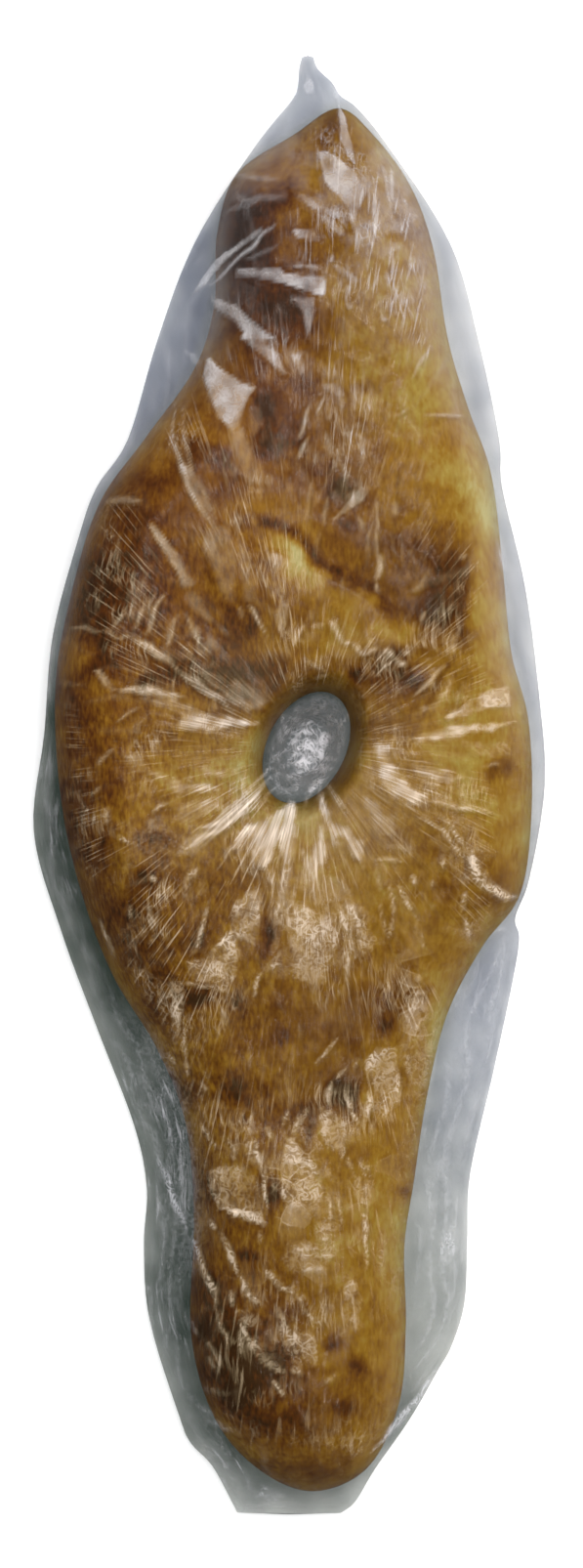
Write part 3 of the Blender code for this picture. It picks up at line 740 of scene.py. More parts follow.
def haze_and_highlight_colour(tree, haze):
    """Colour of the haze and its painted highlights: white in strong creases, cool or warm by the light they
    face; faint ones are a painted gold reflection of the crust.
    """
    warmth = add_node(tree, "ShaderNodeAttribute", attribute_name="warmth")
    golden_glint = add_node(tree, "ShaderNodeAttribute", attribute_name="golden_glint")
    whites = {0: warmth.outputs["Fac"], 6: linear("#ecebf0"), 7: linear("#fce5ca")}
    strong = add_node(tree, "ShaderNodeMix", whites, data_type="RGBA")
    faint = add_node(tree, "ShaderNodeMapRange", {"Value": haze, 1: 0.05, 2: 0.42, 3: 1.0, 4: 0.0})
    faint = add_node(tree, "ShaderNodeMath", {0: faint, 1: golden_glint.outputs["Fac"]}, operation="MULTIPLY")
    tones = {0: faint, 6: strong.outputs[2], 7: linear("#f9daa2")}
    colour = add_node(tree, "ShaderNodeMix", tones, data_type="RGBA")
    return colour.outputs[2]


# %% Clear film
MIRROR_SQUARE_ON = 0.045  # ((1.51 - 1) / (1.51 + 1))^2, for both of its faces a little more
MIRROR_AT_A_SLANT = 0.35
BENT_BY = 6 * MM  # how far the slow waves move a crease


def film_skin(tree, streak, waves):
    """See-through, tinted by the smoke and painted shade that each point stores, with a mirror that grows as
    Facing^4.
    """
    smoke_and_shade = add_node(tree, "ShaderNodeAttribute", attribute_name="smoke_and_shade")
    upper = add_node(tree, "ShaderNodeAttribute", attribute_name="upper")
    # the painted shade is greener at the lower left and bluer at the upper right
    greys = {0: upper.outputs["Fac"], 6: linear("#495950"), 7: linear("#354e73")}
    shade = add_node(tree, "ShaderNodeMix", greys, data_type="RGBA")
    tints = {0: smoke_and_shade.outputs["Fac"], 6: linear("#fdfdfc"), 7: shade.outputs[2]}
    tint = add_node(tree, "ShaderNodeMix", tints, data_type="RGBA")
    see_through = add_node(tree, "ShaderNodeBsdfTransparent", {"Color": tint.outputs[2]})
    relief = streak
    for wave in waves:
        added = {0: wave, 1: EACH_STROKE, 2: relief}
        relief = add_node(tree, "ShaderNodeMath", added, operation="MULTIPLY_ADD")
    bump = add_node(tree, "ShaderNodeBump", {"Height": relief, "Strength": 0.7, "Distance": 0.2 * MM})
    shiny = {"Color": linear("#fff3ea"), "Roughness": 0.2, "Normal": bump}
    gloss = add_node(tree, "ShaderNodeBsdfGlossy", shiny)
    slant = add_node(tree, "ShaderNodeLayerWeight", {"Blend": 0.5})
    rise = add_node(tree, "ShaderNodeMath", {0: slant.outputs["Facing"], 1: 4.0}, operation="POWER")
    mirrored = {0: rise, 1: MIRROR_AT_A_SLANT, 2: MIRROR_SQUARE_ON}
    mirror = add_node(tree, "ShaderNodeMath", mirrored, operation="MULTIPLY_ADD")
    return add_node(tree, "ShaderNodeMixShader", {0: mirror, 1: see_through, 2: gloss})


def clear_film():
    """The skin, and over it a share of white that is the sum of all the hazes, painted highlights among them.
    """
    material, tree = new_material("clear_polythene_film")
    place = add_node(tree, "ShaderNodeTexCoord").outputs["Object"]
    wander = add_node(tree, "ShaderNodeTexNoise", {"Vector": place, "Scale": WANDER_PER_METRE, "Detail": 1.0})
    moved = {0: wander.outputs["Color"], 1: (BENT_BY, BENT_BY, 0), 2: place}
    bent = add_node(tree, "ShaderNodeVectorMath", moved, operation="MULTIPLY_ADD")
    gather = add_node(tree, "ShaderNodeMapRange", {"Value": wander, 1: 0.46, 2: 0.6, 3: 0.0, 4: 1.0})
    nearness, streak = drawn_creases(tree)
    waves = straight_creases(tree, bent)
    haze = crease_and_glint_haze(tree, place, nearness, streak)
    haze = hair_haze(tree, haze, streak, waves, gather)
    haze = pane_haze(tree, haze, bent, gather)
    milky_haze_and_glints = add_node(tree, "ShaderNodeBsdfDiffuse", {"Color": haze_and_highlight_colour(tree, haze)})
    film = add_node(tree, "ShaderNodeMixShader", {0: haze, 1: film_skin(tree, streak, waves), 2: milky_haze_and_glints})
    add_node(tree, "ShaderNodeOutputMaterial", {"Surface": film})
    return material


# %% [markdown]
# ## Where the film folds
# The bag was pulled round the loaf and sucked down into its hole, so its folds aren't random: most of them
# run towards the hole, and the flat panes between them throw a lamp back at the camera. A cloth simulation
# would make folds of this kind but not these ones. So the ones that show are listed, in millimetres. A fold
# is a ridge, and a facet is an outline that starts at its brightest corner.

# %% Folds and facets
FOLDS = [  # start x and y, end x and y, half width, height, and bow if it isn't straight
    # the upper lobe
    (-29, 172.5, -4, 194, 1.3, 1, -1), (-16, 180.5, -3, 186.7, 1.2, 0.4, -0.5),
    (1.6, 180, 5, 178.2, 1.3, 0.8), (5, 178.2, 12, 177.6, 1.2, 0.6), (15.3, 183, 14, 179.5, 1.3, 0.8),
    (7, 132.3, 3, 118.5, 1.4, 0.9, 0.3), (12.4, 134, 9.3, 127, 1.3, 0.8), (6.1, 120, 3, 111.4, 1.4, 0.9),
    (12.9, 121.6, 14.6, 112.5, 1.6, 0.6), (48.8, 151.5, 42.4, 139.5, 1.4, 0.6, 0.3),
    (41.3, 151.6, 40, 144, 1.1, 0.4), (42, 130, 36, 126.5, 1.2, 0.5), (46, 127.5, 61, 127, 1.3, 0.6),
    (35, 214, 36.1, 201.5, 1.4, 0.7), (31.6, 216, 35.5, 196, 1.2, 0.5, 0.4), (40, 203, 41, 199.5, 1.4, 0.5),
    (-20, 210.5, -3, 209.7, 2, 0.5), (-19.4, 202.6, -1.8, 202.3, 2, 0.5),
    (-23.3, 198, -9.7, 201.4, 1.6, 0.4, 0.4), (19.5, 165.8, 22, 163.4, 1.4, 0.6),
    (31, 161.2, 34, 160, 1.5, 0.7), (20.9, 124.4, 24.8, 123.2, 1.3, 0.5), (30.5, 170, 31.5, 160, 1.2, 0.3),
    (27, 187, 27.5, 176, 1.2, 0.4), (15, 246, 17, 236, 1.4, 0.7, 0.3),
    # left of the hole and above it
    (-39.5, 134, -24.5, 88, 1.2, 0.9, -5.5), (-37, 133, -23, 89, 1.1, 0.7, -4),
    (-77, 53.6, -64, 53.2, 1.4, 0.7, 0.4), (-64, 53.6, -59, 50.6, 1.3, 0.8),
    (-64, 98.4, -50, 97.3, 1.8, 0.7), (-59.5, 50.8, -53.5, 50.5, 1.2, 0.6), (-54, 51, -38, 40, 2, 1, 0.4),
    (-40, 41, -17, 24.5, 1.8, 1, 0.3), (-38, 38.6, -20, 27, 1.3, 0.8), (-35, 41, -13, 24.5, 1.3, 0.7, 0.6),
    (-60, 32.8, -36, 30.2, 1.6, 0.8, 0.7), (-56.8, 60.5, -61.3, 53, 1.2, 0.7),
    (-52.2, 66, -55.6, 53.6, 1.2, 0.7), (-50.5, 61, -53.9, 51.9, 1.3, 0.7),
    (-48.3, 65, -51.7, 56, 1.2, 0.6), (-46, 66, -49.4, 56.5, 1.2, 0.6), (-43.2, 66, -49.4, 51, 1.6, 0.9),
    (-38, 58.7, -42.6, 46.3, 1.5, 0.8), (-35.8, 58.7, -30, 47.4, 1.3, 0.8),
    (-32.4, 56, -29.6, 43.4, 1.2, 0.6), (-59, 86.5, -58.8, 71.8, 1.3, 0.5), (-53, 73, -55, 62, 1.2, 0.4),
    (-49.5, 74, -52, 64, 1.2, 0.4), (-13.7, 62, -6.9, 50, 1.3, 0.9), (-3.5, 66.7, -1.8, 48, 1.3, 0.8),
    (-1.8, 65, 0, 53.6, 1.2, 0.8), (0, 47.4, 5, 55.3, 1.5, 0.7), (-16.5, 62, -16.3, 57.5, 1.3, 0.6),
    (-38.6, 48, -31, 42, 1.4, 0.6, 0.4), (-51.7, 27.6, -60, 20.8, 1.2, 0.6), (-48, 24, -55, 17, 1.2, 0.4),
    (-66.5, 6, -60, 12.5, 1.3, 0.6, 0.5), (-69, -5.5, -65, 0, 1.2, 0.5),
    # right of the hole and above it
    (41.9, 29.8, 54.3, 43, 1.3, 0.9, -0.8), (54.3, 43, 60.5, 58, 1.2, 0.5, -0.5),
    (6.7, 54.2, 13, 54.4, 1.3, 0.6), (13, 56.5, 18, 49.1, 1.6, 0.9, 0.4), (18, 49.1, 21.5, 48.5, 1.5, 0.9),
    (21.5, 48.5, 25.4, 44, 1.6, 1, 0.3), (25.4, 44, 29.8, 46.8, 1.5, 0.9),
    (31.7, 46.3, 36.2, 43.6, 1.8, 1, 0.3), (36.2, 43.6, 40.7, 41, 1.7, 1),
    (38.5, 46.6, 40.5, 44.5, 1.3, 0.7), (16.6, 56.8, 14.7, 53, 1.4, 0.8), (7.3, 60.5, 7.3, 55.8, 1.3, 0.7),
    (3.9, 43, 13, 38.9, 1.2, 0.6, 0.4), (8.4, 37.2, 13.5, 38.3, 1.2, 0.6), (30.3, 102, 30.3, 66, 1.3, 0.6),
    (28.3, 92, 26.6, 75, 1.2, 0.5), (36.2, 99, 36.2, 91.5, 2.3, 0.6), (31.7, 79, 31, 71, 1.4, 0.8),
    (13, 100, 12, 87.5, 1.3, 0.6), (7.3, 105, 5.6, 90.5, 1.3, 0.5), (23.2, 93.4, 26, 86.3, 1.4, 0.6),
    (17.5, 111, 20, 104, 1.4, 0.7), (23, 101.5, 22, 95.5, 1.6, 0.8), (41.9, 65, 48.7, 74, 2.2, 0.4),
    (44.2, 55.8, 47.7, 60.6, 1.5, 0.8), (57.5, 78, 61.5, 79.5, 1.3, 0.6),
    (72.5, 83.5, 73.6, 73, 1.6, 0.6, 0.3), (18.5, 71, 17.8, 63, 1.4, 0.4), (30.6, 69.5, 30.8, 65, 1.3, 0.6),
    (11, 88, 8, 76, 1.3, 0.3),
    # below the hole, left
    (-47.5, -10, -41.3, -5.3, 1.2, 0.8), (-59.2, -17, -53.8, -20.8, 1.3, 1),
    (-48.2, -30.2, -46, -33.8, 1.3, 0.9), (-29.3, -39, -34.2, -60, 1.3, 0.9, 2),
    (-66, -45, -60.3, -61, 1.3, 0.8, 0.5), (-36.5, -39, -32, -28, 1.3, 0.6, 0.5),
    (-33, -32, -31.5, -28, 1.3, 0.7), (-26.5, -57.5, -20, -50, 1.5, 0.8), (-48, -55, -46, -50, 1.2, 0.5),
    (-47.5, -49, -44.3, -43, 1.3, 0.6), (-54.3, -46.3, -55.5, -41, 1.4, 0.7),
    (-22.7, -26, -18.5, -20, 1.3, 0.7), (-13, -74.5, -9, -63.5, 1.4, 0.9), (-9, -63.5, -2, -61.5, 1.4, 0.8),
    (-40, -67, -20, -71, 1.4, 0.7), (-47, -38.5, -43.5, -37, 1.6, 0.6), (-50, -43, -46, -41, 1.4, 0.6),
    (-5, -49, -2.5, -34, 1.6, 0.7, 0.4), (-6, 7, -34.5, -17.5, 1.6, 1.1, 2),
    (-5.5, 4.5, -31, -15.5, 1.3, 0.9, 2.5), (-6.5, 1.5, -37.5, -22.5, 1.7, 1.1, 2.5),
    (-3.5, 0, -25, -14.5, 1.2, 0.7, 1.5), (-29, -45.5, -27, -38.5, 1.2, 0.4),
    (-16, -47, -19, -55, 1.4, 0.5),
    # below the hole, right
    (10.3, 0, 12, -12, 1.4, 1, 0.4), (12, 0.5, 19.5, -8.5, 1.7, 0.9), (43, -9.8, 60, -26, 1.2, 0.8, 2),
    (50, -9, 60, -21, 1.3, 0.9, 1), (60, -21, 66.8, -34.5, 1.5, 1.1, -0.4),
    (61.5, -22.5, 78, -39, 2, 0.9, -4), (30, -24.5, 39, -26.6, 1.4, 0.8), (33, -32, 36, -45, 1.2, 0.8, 0.8),
    (36.7, -33, 44.2, -46.5, 1.2, 0.9), (30, -28, 31, -37, 1.1, 0.6), (60, -36, 59.3, -44, 1.5, 0.8),
    (60, -44, 63, -54.5, 1.4, 0.8), (31, -40, 33, -53, 1.2, 0.6), (36.5, -44, 33.5, -54, 1.3, 0.6),
    (45, -50, 46.5, -56.5, 1.3, 0.6), (43, -53, 43.5, -46, 1.2, 0.4), (20, -40, 25, -49, 1.4, 0.8),
    (17, -41, 20.7, -52, 1.5, 0.8), (20.5, -52, 23.2, -60.5, 1.3, 0.7), (18, -56, 20.3, -68.5, 1.3, 0.7),
    (47, -5.5, 70, -9, 1.6, 0.8, -0.6), (42, -31, 43.6, -34.8, 1.7, 0.9), (48, -32, 49, -35, 1.4, 0.6),
    (52.5, -25, 54, -28.5, 1.7, 0.7), (70, -50.7, 75, -49.5, 1.3, 0.6), (4, -21, 6, -29, 1.4, 0.7),
    (56, 3, 61, 1.5, 1.3, 0.6), (66, 6, 73, 7.5, 1.4, 0.5), (60, -3.5, 69, -1, 1.3, 0.4),
    (33, -20.5, 41, -22, 1.3, 0.4), (43, -67, 46, -65.5, 1.5, 0.6), (41, -71.5, 48, -71.5, 1.6, 0.6),
    (10, -30, 22, -36.5, 1.4, 0.5, 0.4),
    # the waist
    (-31, -116, -25.3, -124.3, 1.2, 0.8, 0.3), (-20.7, -121.3, -18, -125, 1.2, 0.8, -0.4),
    (-18, -124.5, -19.5, -129.5, 1.2, 0.8, -0.3), (-12.5, -120.5, -9.3, -131.5, 1.3, 0.9),
    (-9.3, -130.5, -7.8, -147.5, 1.3, 0.9, 0.3), (-9, -116.8, -6, -122.3, 1.6, 0.8),
    (0, -112.3, -2.7, -117.3, 1.4, 0.8), (-17.8, -117, -15.3, -112.8, 1.1, 0.6),
    (9, -111.5, 17.3, -114.8, 1.3, 0.8, 0.3), (17, -114.5, 20, -118.5, 1.2, 0.8, 0.3),
    (8.3, -96.7, 17.7, -86.3, 1, 0.9), (25.8, -95.6, 31, -92, 1.1, 0.8),
    (18.8, -106.3, 25.2, -117.8, 1.4, 0.9, 0.5), (13.3, -109.3, 15, -102, 1.3, 0.8, 0.4),
    (15, -102.5, 20, -97.3, 1.2, 0.7), (27, -104.5, 27, -115.8, 1.5, 0.9, 0.4),
    (23.7, -92.8, 22.5, -99, 1.2, 0.6), (-36.4, -83.5, -35.6, -95, 1.5, 0.9),
    (-35.8, -94, -34.8, -101, 1.2, 0.7), (-42, -92.3, -38.8, -96.7, 1.4, 0.8),
    (-38.7, -71, -38.6, -86, 1.5, 0.7), (5, -129, 10, -133.3, 1.3, 0.8),
    (-3, -137.8, -0.3, -143.5, 1.5, 0.9), (1, -140.5, -1, -146, 1.2, 0.6),
    (24.5, -127, 26.3, -134.5, 1.5, 0.9), (27, -128.5, 28.7, -136.5, 1.2, 0.7),
    (20, -127, 21.8, -134, 1.2, 0.6), (0.8, -119.5, 3.8, -113, 1.2, 0.7),
    (11.5, -118, 14.5, -126, 1.3, 0.6), (19.3, -118.5, 18.7, -129, 1.3, 0.6),
    (-28.5, -129, -29, -132, 1.3, 0.5), (13, -140.5, 14, -151, 1.4, 0.7, 0.3),
    (16.3, -140, 18.7, -152, 1.2, 0.6), (-27, -136, -24.5, -143.5, 1.3, 0.6, -0.5),
    (26.5, -136.5, 29.5, -138.5, 1.2, 0.6), (-31, -103, -27, -105.5, 1.4, 0.6),
    (-30.5, -98.5, -27, -101, 1.3, 0.5), (-14.5, -89, -13, -97.5, 1.2, 0.4), (3.8, -81, 3.2, -88, 1.2, 0.4),
    (40.5, -91, 41.5, -100.5, 1.3, 0.5), (37, -97, 38.5, -109, 1.4, 0.6), (43, -86, 47.5, -78.5, 1.6, 0.5),
    (-1.5, -128.5, 8, -129.5, 1.5, 0.6, 0.4),
    # the lower lobe and the loose film beside it
    (-27.6, -150, -23.6, -153.4, 1.5, 0.8), (-23.6, -152.5, -19.8, -167.5, 1.4, 0.8, 0.4),
    (-21, -158, -16.8, -169.5, 1.9, 1), (-16.8, -168.5, -15, -176, 1.8, 1),
    (-15.3, -174.8, -10.4, -178.4, 1.6, 0.9), (-9.6, -166.3, 2.6, -174.8, 1.7, 1, -0.4),
    (2.4, -174.2, 6.3, -181.5, 1.4, 0.8), (6, -180.5, 11, -186, 1.3, 0.7),
    (10.9, -171.5, 10.9, -187, 1.3, 0.6, 0.3), (25.6, -140, 26.3, -168, 1.4, 0.9, 0.3),
    (34.3, -155, 30, -169, 2.6, 0.3), (-28.3, -168.5, -25.8, -176, 1.6, 0.8),
    (-20.4, -172.5, -18.5, -181, 1.5, 0.8), (-25.5, -179.5, -20.2, -193, 1.3, 0.7),
    (-18, -187, -16.2, -196.5, 1.4, 0.7), (-34.4, -183, -31.6, -191.5, 1.3, 0.5),
    (-30, -191.5, -22, -201.5, 1.6, 0.6, 0.6), (-28.5, -196.5, -23.7, -202.5, 1.3, 0.5),
    (-6.8, -204, -0.8, -210.7, 1.3, 0.8), (-30.5, -208.7, -19.7, -210.4, 2.3, 0.4),
    (-31.6, -214.2, -25.2, -218, 1.8, 0.5), (-30, -219, -15, -225.3, 2.4, 0.5, 0.5),
    (16.8, -201.7, 11.2, -206.6, 1.4, 0.6, 0.6), (0.5, -200, 5.3, -202.7, 1.4, 0.7),
    (1.5, -159, 13, -159.2, 1.2, 0.7), (4, -161.7, 16, -161.4, 1.2, 0.7),
    (1.5, -165.8, 13.5, -166.4, 1.3, 0.7), (8, -155, 14.5, -155.6, 1.2, 0.5),
    (-5, -178.5, 4.6, -200.4, 1.4, 0.7, 0.6), (-1, -179, 5, -196.5, 1.2, 0.5, 0.4),
    (-46.5, -127.5, -34.5, -154.5, 1.8, 1, -0.5), (-34.5, -154.5, -24.5, -181, 1.7, 0.8, 0.5),
    (27, -231.5, 53, -200.5, 2.2, 1.2, -1.5), (37, -228.5, 50.5, -211.5, 1.6, 0.9, -1),
    (-9.8, -152.5, -10.3, -158, 1.3, 0.6), (-24.5, -145.5, -9, -149.8, 1.6, 0.8, 0.6),
    (-2.5, 27, -0.5, 15, 1.2, 0.8), (20.5, 26, 16, 18, 1.2, 0.8, 0.5), (-7, 8, 2.5, 13, 1.1, 0.6, 0.5),
    (5, -8, 10, 3, 1.2, 0.6),
]
FACETS = [  # brightness (how far each pane turns to its lamp, and how strong its painted highlight is), then x and y of each corner from the brightest on
    # the upper lobe
    (0.9, 16.5, 238, 19, 232.4, 21, 224, 23.1, 214.2, 20.3, 217, 17.5, 224),
    (1.15, 9.8, 218.4, 12.6, 219.1, 18.6, 215, 23.5, 210, 26, 203.7, 23.5, 196.3, 21.7, 193.8, 20.5, 199.5,
      16.3, 203.7, 12.5, 208),
    (0.65, 2.7, 203.4, 6.7, 202.9, 10.1, 199.7, 14.6, 198, 19.2, 196.3, 18, 195.2, 11.8, 196.9, 6.7, 199.7),
    (0.45, 10, 197, 13, 196, 19.7, 190, 18, 189, 12, 193.5),
    (0.8, 1, 191.2, 6.7, 191, 10.1, 189, 11.5, 186.7, 8.4, 187.3, 3.3, 188.4),
    (0.25, 22, 193.5, 29.5, 194, 29, 181.5, 23, 182.5),
    (1.1, -33.3, 170.3, -30, 175.5, -25.5, 181.5, -18, 186.3, -9, 192.5, -9.5, 190.5, -18, 184.3,
      -23.5, 180, -27, 175.5, -29.5, 172.5),
    (1.2, 12.5, 168.5, 12.9, 173.1, 11.8, 174.8, 5, 175.1, -1.8, 175.9, -3.5, 177.9, -9.7, 177.4,
      -18.5, 178.2, -18, 175.4, -12.6, 174.8, -4.1, 173.1, 3.9, 170.9, 9, 168.9),
    (0.6, 8.7, 167.7, 1, 168, 5, 162.9, 5.8, 156.7, 5.3, 152, 7.3, 156.7, 8.4, 160.7),
    (0.55, 15.5, 179, 18, 178, 24.2, 173.3, 22.5, 173, 17, 176.3),
    (1.2, -4.8, 153.9, -10.3, 157.5, -13.7, 160.7, -18.8, 165.2, -24.5, 168, -27.3, 168.6, -25.6, 164.9,
      -19.4, 160.1, -15.4, 156.1, -16.5, 154.1, -15.4, 153, -9.7, 152.7),
    (0.85, -14.3, 152.2, -9.7, 152.2, -5.8, 150.5, -3.5, 147.6, -1.8, 143.1, 0.5, 140.8, -2.4, 141.4,
      -6.3, 145.4), (0.7, 0.5, 148.2, 3.9, 148.8, 5.5, 144.2, 3.9, 140.3, 1.6, 145.4),
    (1.5, -27.9, 147.6, -23.9, 143.7, -18.2, 139.4, -11.2, 136.3, -13.7, 134, -15.4, 129.5, -17.1, 123.3,
      -19.4, 122.1, -24.5, 126.7, -27.3, 134, -29.6, 141.4),
    (0.5, -35.8, 150, -32, 148.5, -30, 145.5, -33, 146),
    (0.35, -21, 123, -16, 123, -12, 112, -7.5, 103, -14, 104, -18, 112),
    (0.2, -14, 130, -10, 130, -9, 124, -13, 118),
    (0.55, 11.8, 137.4, 16.3, 138.3, 19.7, 134, 16.9, 133.7, 12.3, 135.7),
    # left of the hole and above it
    (0.6, -37.5, 110, -35.2, 109.7, -31.8, 103.5, -27.9, 95.6, -24.5, 88.2, -26.7, 88.2, -31.3, 95,
      -34.7, 100.7),
    (0.95, -48, 89.8, -46, 89, -41.5, 83.1, -37.5, 78.6, -35.2, 72.9, -32.4, 68.9, -33.5, 67.8, -36.4, 67.8,
      -38.6, 73.5, -42.6, 79.7, -46, 84.8),
    (0.35, -35.8, 65.5, -32.4, 66.7, -29, 60.4, -21, 50.8, -25.6, 54.8, -32.4, 59.9),
    (0.35, -27.9, 88.2, -20.5, 88.8, -18.2, 78.6, -19.4, 63.3, -22.2, 63.3, -25.6, 73.5, -29.6, 83.1),
    (0.25, -18.2, 87.6, -13.7, 78.6, -11.4, 71.8, -10.3, 62.7, -15.4, 63.3, -16.5, 73.5),
    (0.8, -6.3, 80.3, -0.7, 77.4, 0.5, 75.2, -4.1, 74, -6.9, 77.4),
    (0.45, -28.4, 50.2, -23.3, 47.4, -27.9, 44.6, -30, 46),
    (0.7, -36, 30.2, -42.6, 31.8, -50.5, 34.4, -60.2, 32.7, -50.5, 30.8, -42, 30.2),
    (0.7, -33, 27, -42.6, 29.3, -50.5, 29.8, -41.5, 26.4, -34.1, 25.9),
    (1.3, -11.4, 21, -22.8, 23, -31.3, 24.7, -40.3, 25.9, -36.4, 24.2, -36.9, 20.8, -35.2, 19.1,
      -26.7, 19.3, -19.9, 19.9),
    (0.3, -6.9, 28.7, -10.9, 31.5, -16.5, 36.1, -19.9, 34.4, -22.2, 29.8, -18.8, 27.6, -14.3, 25.3,
      -9.7, 26.4), (0.8, -67, 39.5, -64.7, 39.5, -59.6, 33.2, -60.7, 31.5, -65.3, 36.1),
    # right of the hole
    (1.15, 54, 23.3, 60, 27, 67.9, 32.1, 75.9, 34.4, 76.4, 27, 67.9, 26.4, 60, 23.6),
    (1.15, 42.4, 16.2, 50.9, 17.9, 56.6, 20.2, 67.9, 20.8, 78.7, 21.9, 70.2, 18.5, 62.3, 18.5, 56.6, 15.7,
      45.3, 15.4), (0.7, 46.4, 25.9, 50.9, 28.7, 54.3, 33.8, 56.6, 38.5, 54.3, 31.5, 50.9, 27.3),
    (0.8, 15.5, 91, 17, 93.5, 22, 99, 24.5, 102.5, 28, 102, 25, 97.5, 20, 94),
    (0.85, 30.2, 13.5, 34.5, 13.5, 35.2, 8.5, 37.5, 2.5, 41, 0, 46, -4, 50, -8.5, 43, -6.5, 36, -3.5,
      32.5, 0, 30.8, 6), (0.8, 42.5, 7, 48, 5.5, 54, 5, 57, 1, 50, 1.5, 44, 4),
    (0.4, 60, 14.5, 68, 14, 74, 14.5, 78, 10, 70, 9.5, 63, 11),
    (0.4, 26, -4, 30, -7, 36, -13, 36.5, -17, 31, -17, 27.5, -12),
    (0.4, 63, -22, 66, -27, 70, -33, 75, -37.5, 80, -38.5, 74, -41, 70, -38, 66, -32),
    # below the hole
    (1.2, 1, -6, 2.3, -10, 2, -20, 0.5, -28, -2, -27, -3, -18, -8, -29, -12, -28, -13.5, -22, -19.5, -21.5,
      -16, -14.5, -8, -11.5), (0.4, -2, -28, 0.5, -29, 1, -40, -3, -55, -6, -58, -4, -44),
    (0.6, 15, -18, 18.5, -20, 17, -21.5, 14.5, -20.5),
    (1, 11, -4, 13, -9, 14.5, -13, 20, -15.5, 24, -19, 26, -24, 25.5, -28, 22, -25, 20.5, -19.5, 15, -17,
      11.5, -10), (0.75, 12, -13, 12.5, -26, 9, -31, 3.5, -34.5, 3, -32, 7, -26, 10, -20),
    (0.3, 3, -35, 10, -31, 22, -36, 26, -45, 18, -40, 8, -41),
    (0.75, -24.5, -1.5, -27, 0, -37, 1, -44, 4, -48, 4.5, -44, 1, -39, -2, -30, -2),
    (0.6, -19, 4, -22, 3.3, -26, 4.5, -31, 6.5, -29, 4.5, -25, 3),
    (0.4, -24, -4.5, -30, -5, -38, -6.5, -38, -12, -36, -14, -30, -9.5, -24, -7.5),
    (0.45, -20, -10.5, -28, -14, -36, -19, -39, -24, -33, -24, -28, -19, -20, -13),
    (0.55, -64, -8, -62, -7.5, -61.5, -12, -62.5, -13.5, -64.5, -11),
    (0.35, -57, 10, -50, 11, -49, 5, -54, 4), (0.3, -49, -12, -44, -11.5, -43, -16, -49, -16),
    # the waist
    (0.8, -10.5, -34, -12, -36, -18, -40, -20, -45, -20, -50, -16, -53, -12, -55, -10, -46),
    (0.8, -20, -50, -25, -54.7, -28.6, -59.8, -35.1, -60.5, -34.3, -64.8, -31.5, -67.6, -26.4, -67.6,
      -22.1, -71.2, -18.5, -66, -17, -58),
    (0.7, 1, -40.5, 5.5, -41, 9, -44, 15.5, -45, 17, -52, 14.5, -60, 13, -67, 9, -70.5, 6.5, -68, 1.5, -66,
      1, -56, -1, -48), (0.5, 22, -44, 26, -47.5, 29.5, -52, 29, -57, 24, -54, 23, -48),
    (0.35, -8, -62, -1.5, -55, 1, -60, 0, -66, -6, -66),
    (0.4, -41, -67, -36, -68.5, -36.5, -80.5, -40, -95.5), (0.3, 40, -72, 48, -74, 49, -78.5, 42, -78),
    (0.8, 30.5, -90, 36.5, -90.5, 37.5, -100, 38, -110, 33, -113.5, 29, -113.5, 29.5, -104, 26.5, -99,
      26.5, -95),
    # the lower lobe
    (0.55, 3, -115, 5.5, -111, 7, -112, 4.5, -116, 1.5, -121, 0.5, -119),
    (0.65, 10.5, -113, 17, -114.5, 19.5, -118, 19, -127, 15, -125, 12, -121, 10.5, -120),
    (0.6, -1, -121, 2, -122, 4, -128, 10, -131, 11.5, -139, 10, -146, 6, -148.5, 1, -145, -2.5, -139,
      -2, -128),
    (0.5, -28, -133, -22, -131, -14, -131, -10.5, -137, -8.5, -146, -8, -151, -14, -150, -24, -146,
      -27, -141),
    (0.6, -8.4, -151.5, -9.5, -146.4, -16.3, -147.5, -23.1, -145.8, -17.5, -149.2, -11.2, -150.3),
    (0.8, -26, -124.5, -24, -122.5, -22.5, -124, -23.5, -126),
    (0.5, -16.5, -118.5, -12, -117.5, -9, -118.5, -12, -120),
    (0.5, -15, -122, -12, -122, -10, -130, -12, -131, -15, -128),
    (0.4, 22, -134, 29, -137.5, 28, -146, 24, -144),
    (0.4, 8.6, -150.9, 14.3, -150.3, 14.8, -156, 17.1, -161.1, 14.3, -163.4, 9.2, -155.4),
    (0.25, -0.5, -157, 9, -157, 14, -163, 13, -168.5, 2, -168, -3, -163),
    (0.75, 19.4, -171.9, 22.2, -169.6, 23.3, -173, 21.6, -178.7, 18.8, -176.4),
    (0.4, -18.6, -180.9, -14, -180.9, -9.5, -184.3, -11, -187, -15.2, -185.5),
    (0.7, -17.5, -184.3, -14, -188.9, -10.6, -191.7, -5, -199.1, -1, -201.9, -3.9, -202.2, -9.5, -198.5,
      -14, -192.8),
    (0.4, -5, -178.7, -2.7, -183.2, -0.5, -187.7, 4.6, -200.2, 2.9, -200.8, -1.6, -194.5, -3.9, -187.7),
    (0.65, 0.7, -188.3, 8, -187.7, 9.7, -192.8, 9.7, -199.1, 6.3, -199.9, 3.5, -194.5),
    (0.4, 16.5, -188.3, 19.4, -187.7, 19.4, -192.8, 17.5, -191),
]
print("folds:", len(FOLDS), "and facets:", len(FACETS))

# %% [markdown]
# ## Creases nobody listed
# Between the listed folds the film is still uneven. Crumpled film is flat facets with sharp ridges between
# them, which is what a sum of triangle waves looks like, where a sum of sines would look like water. Near
# the hole the same waves are laid out round it, so that they become pleats.

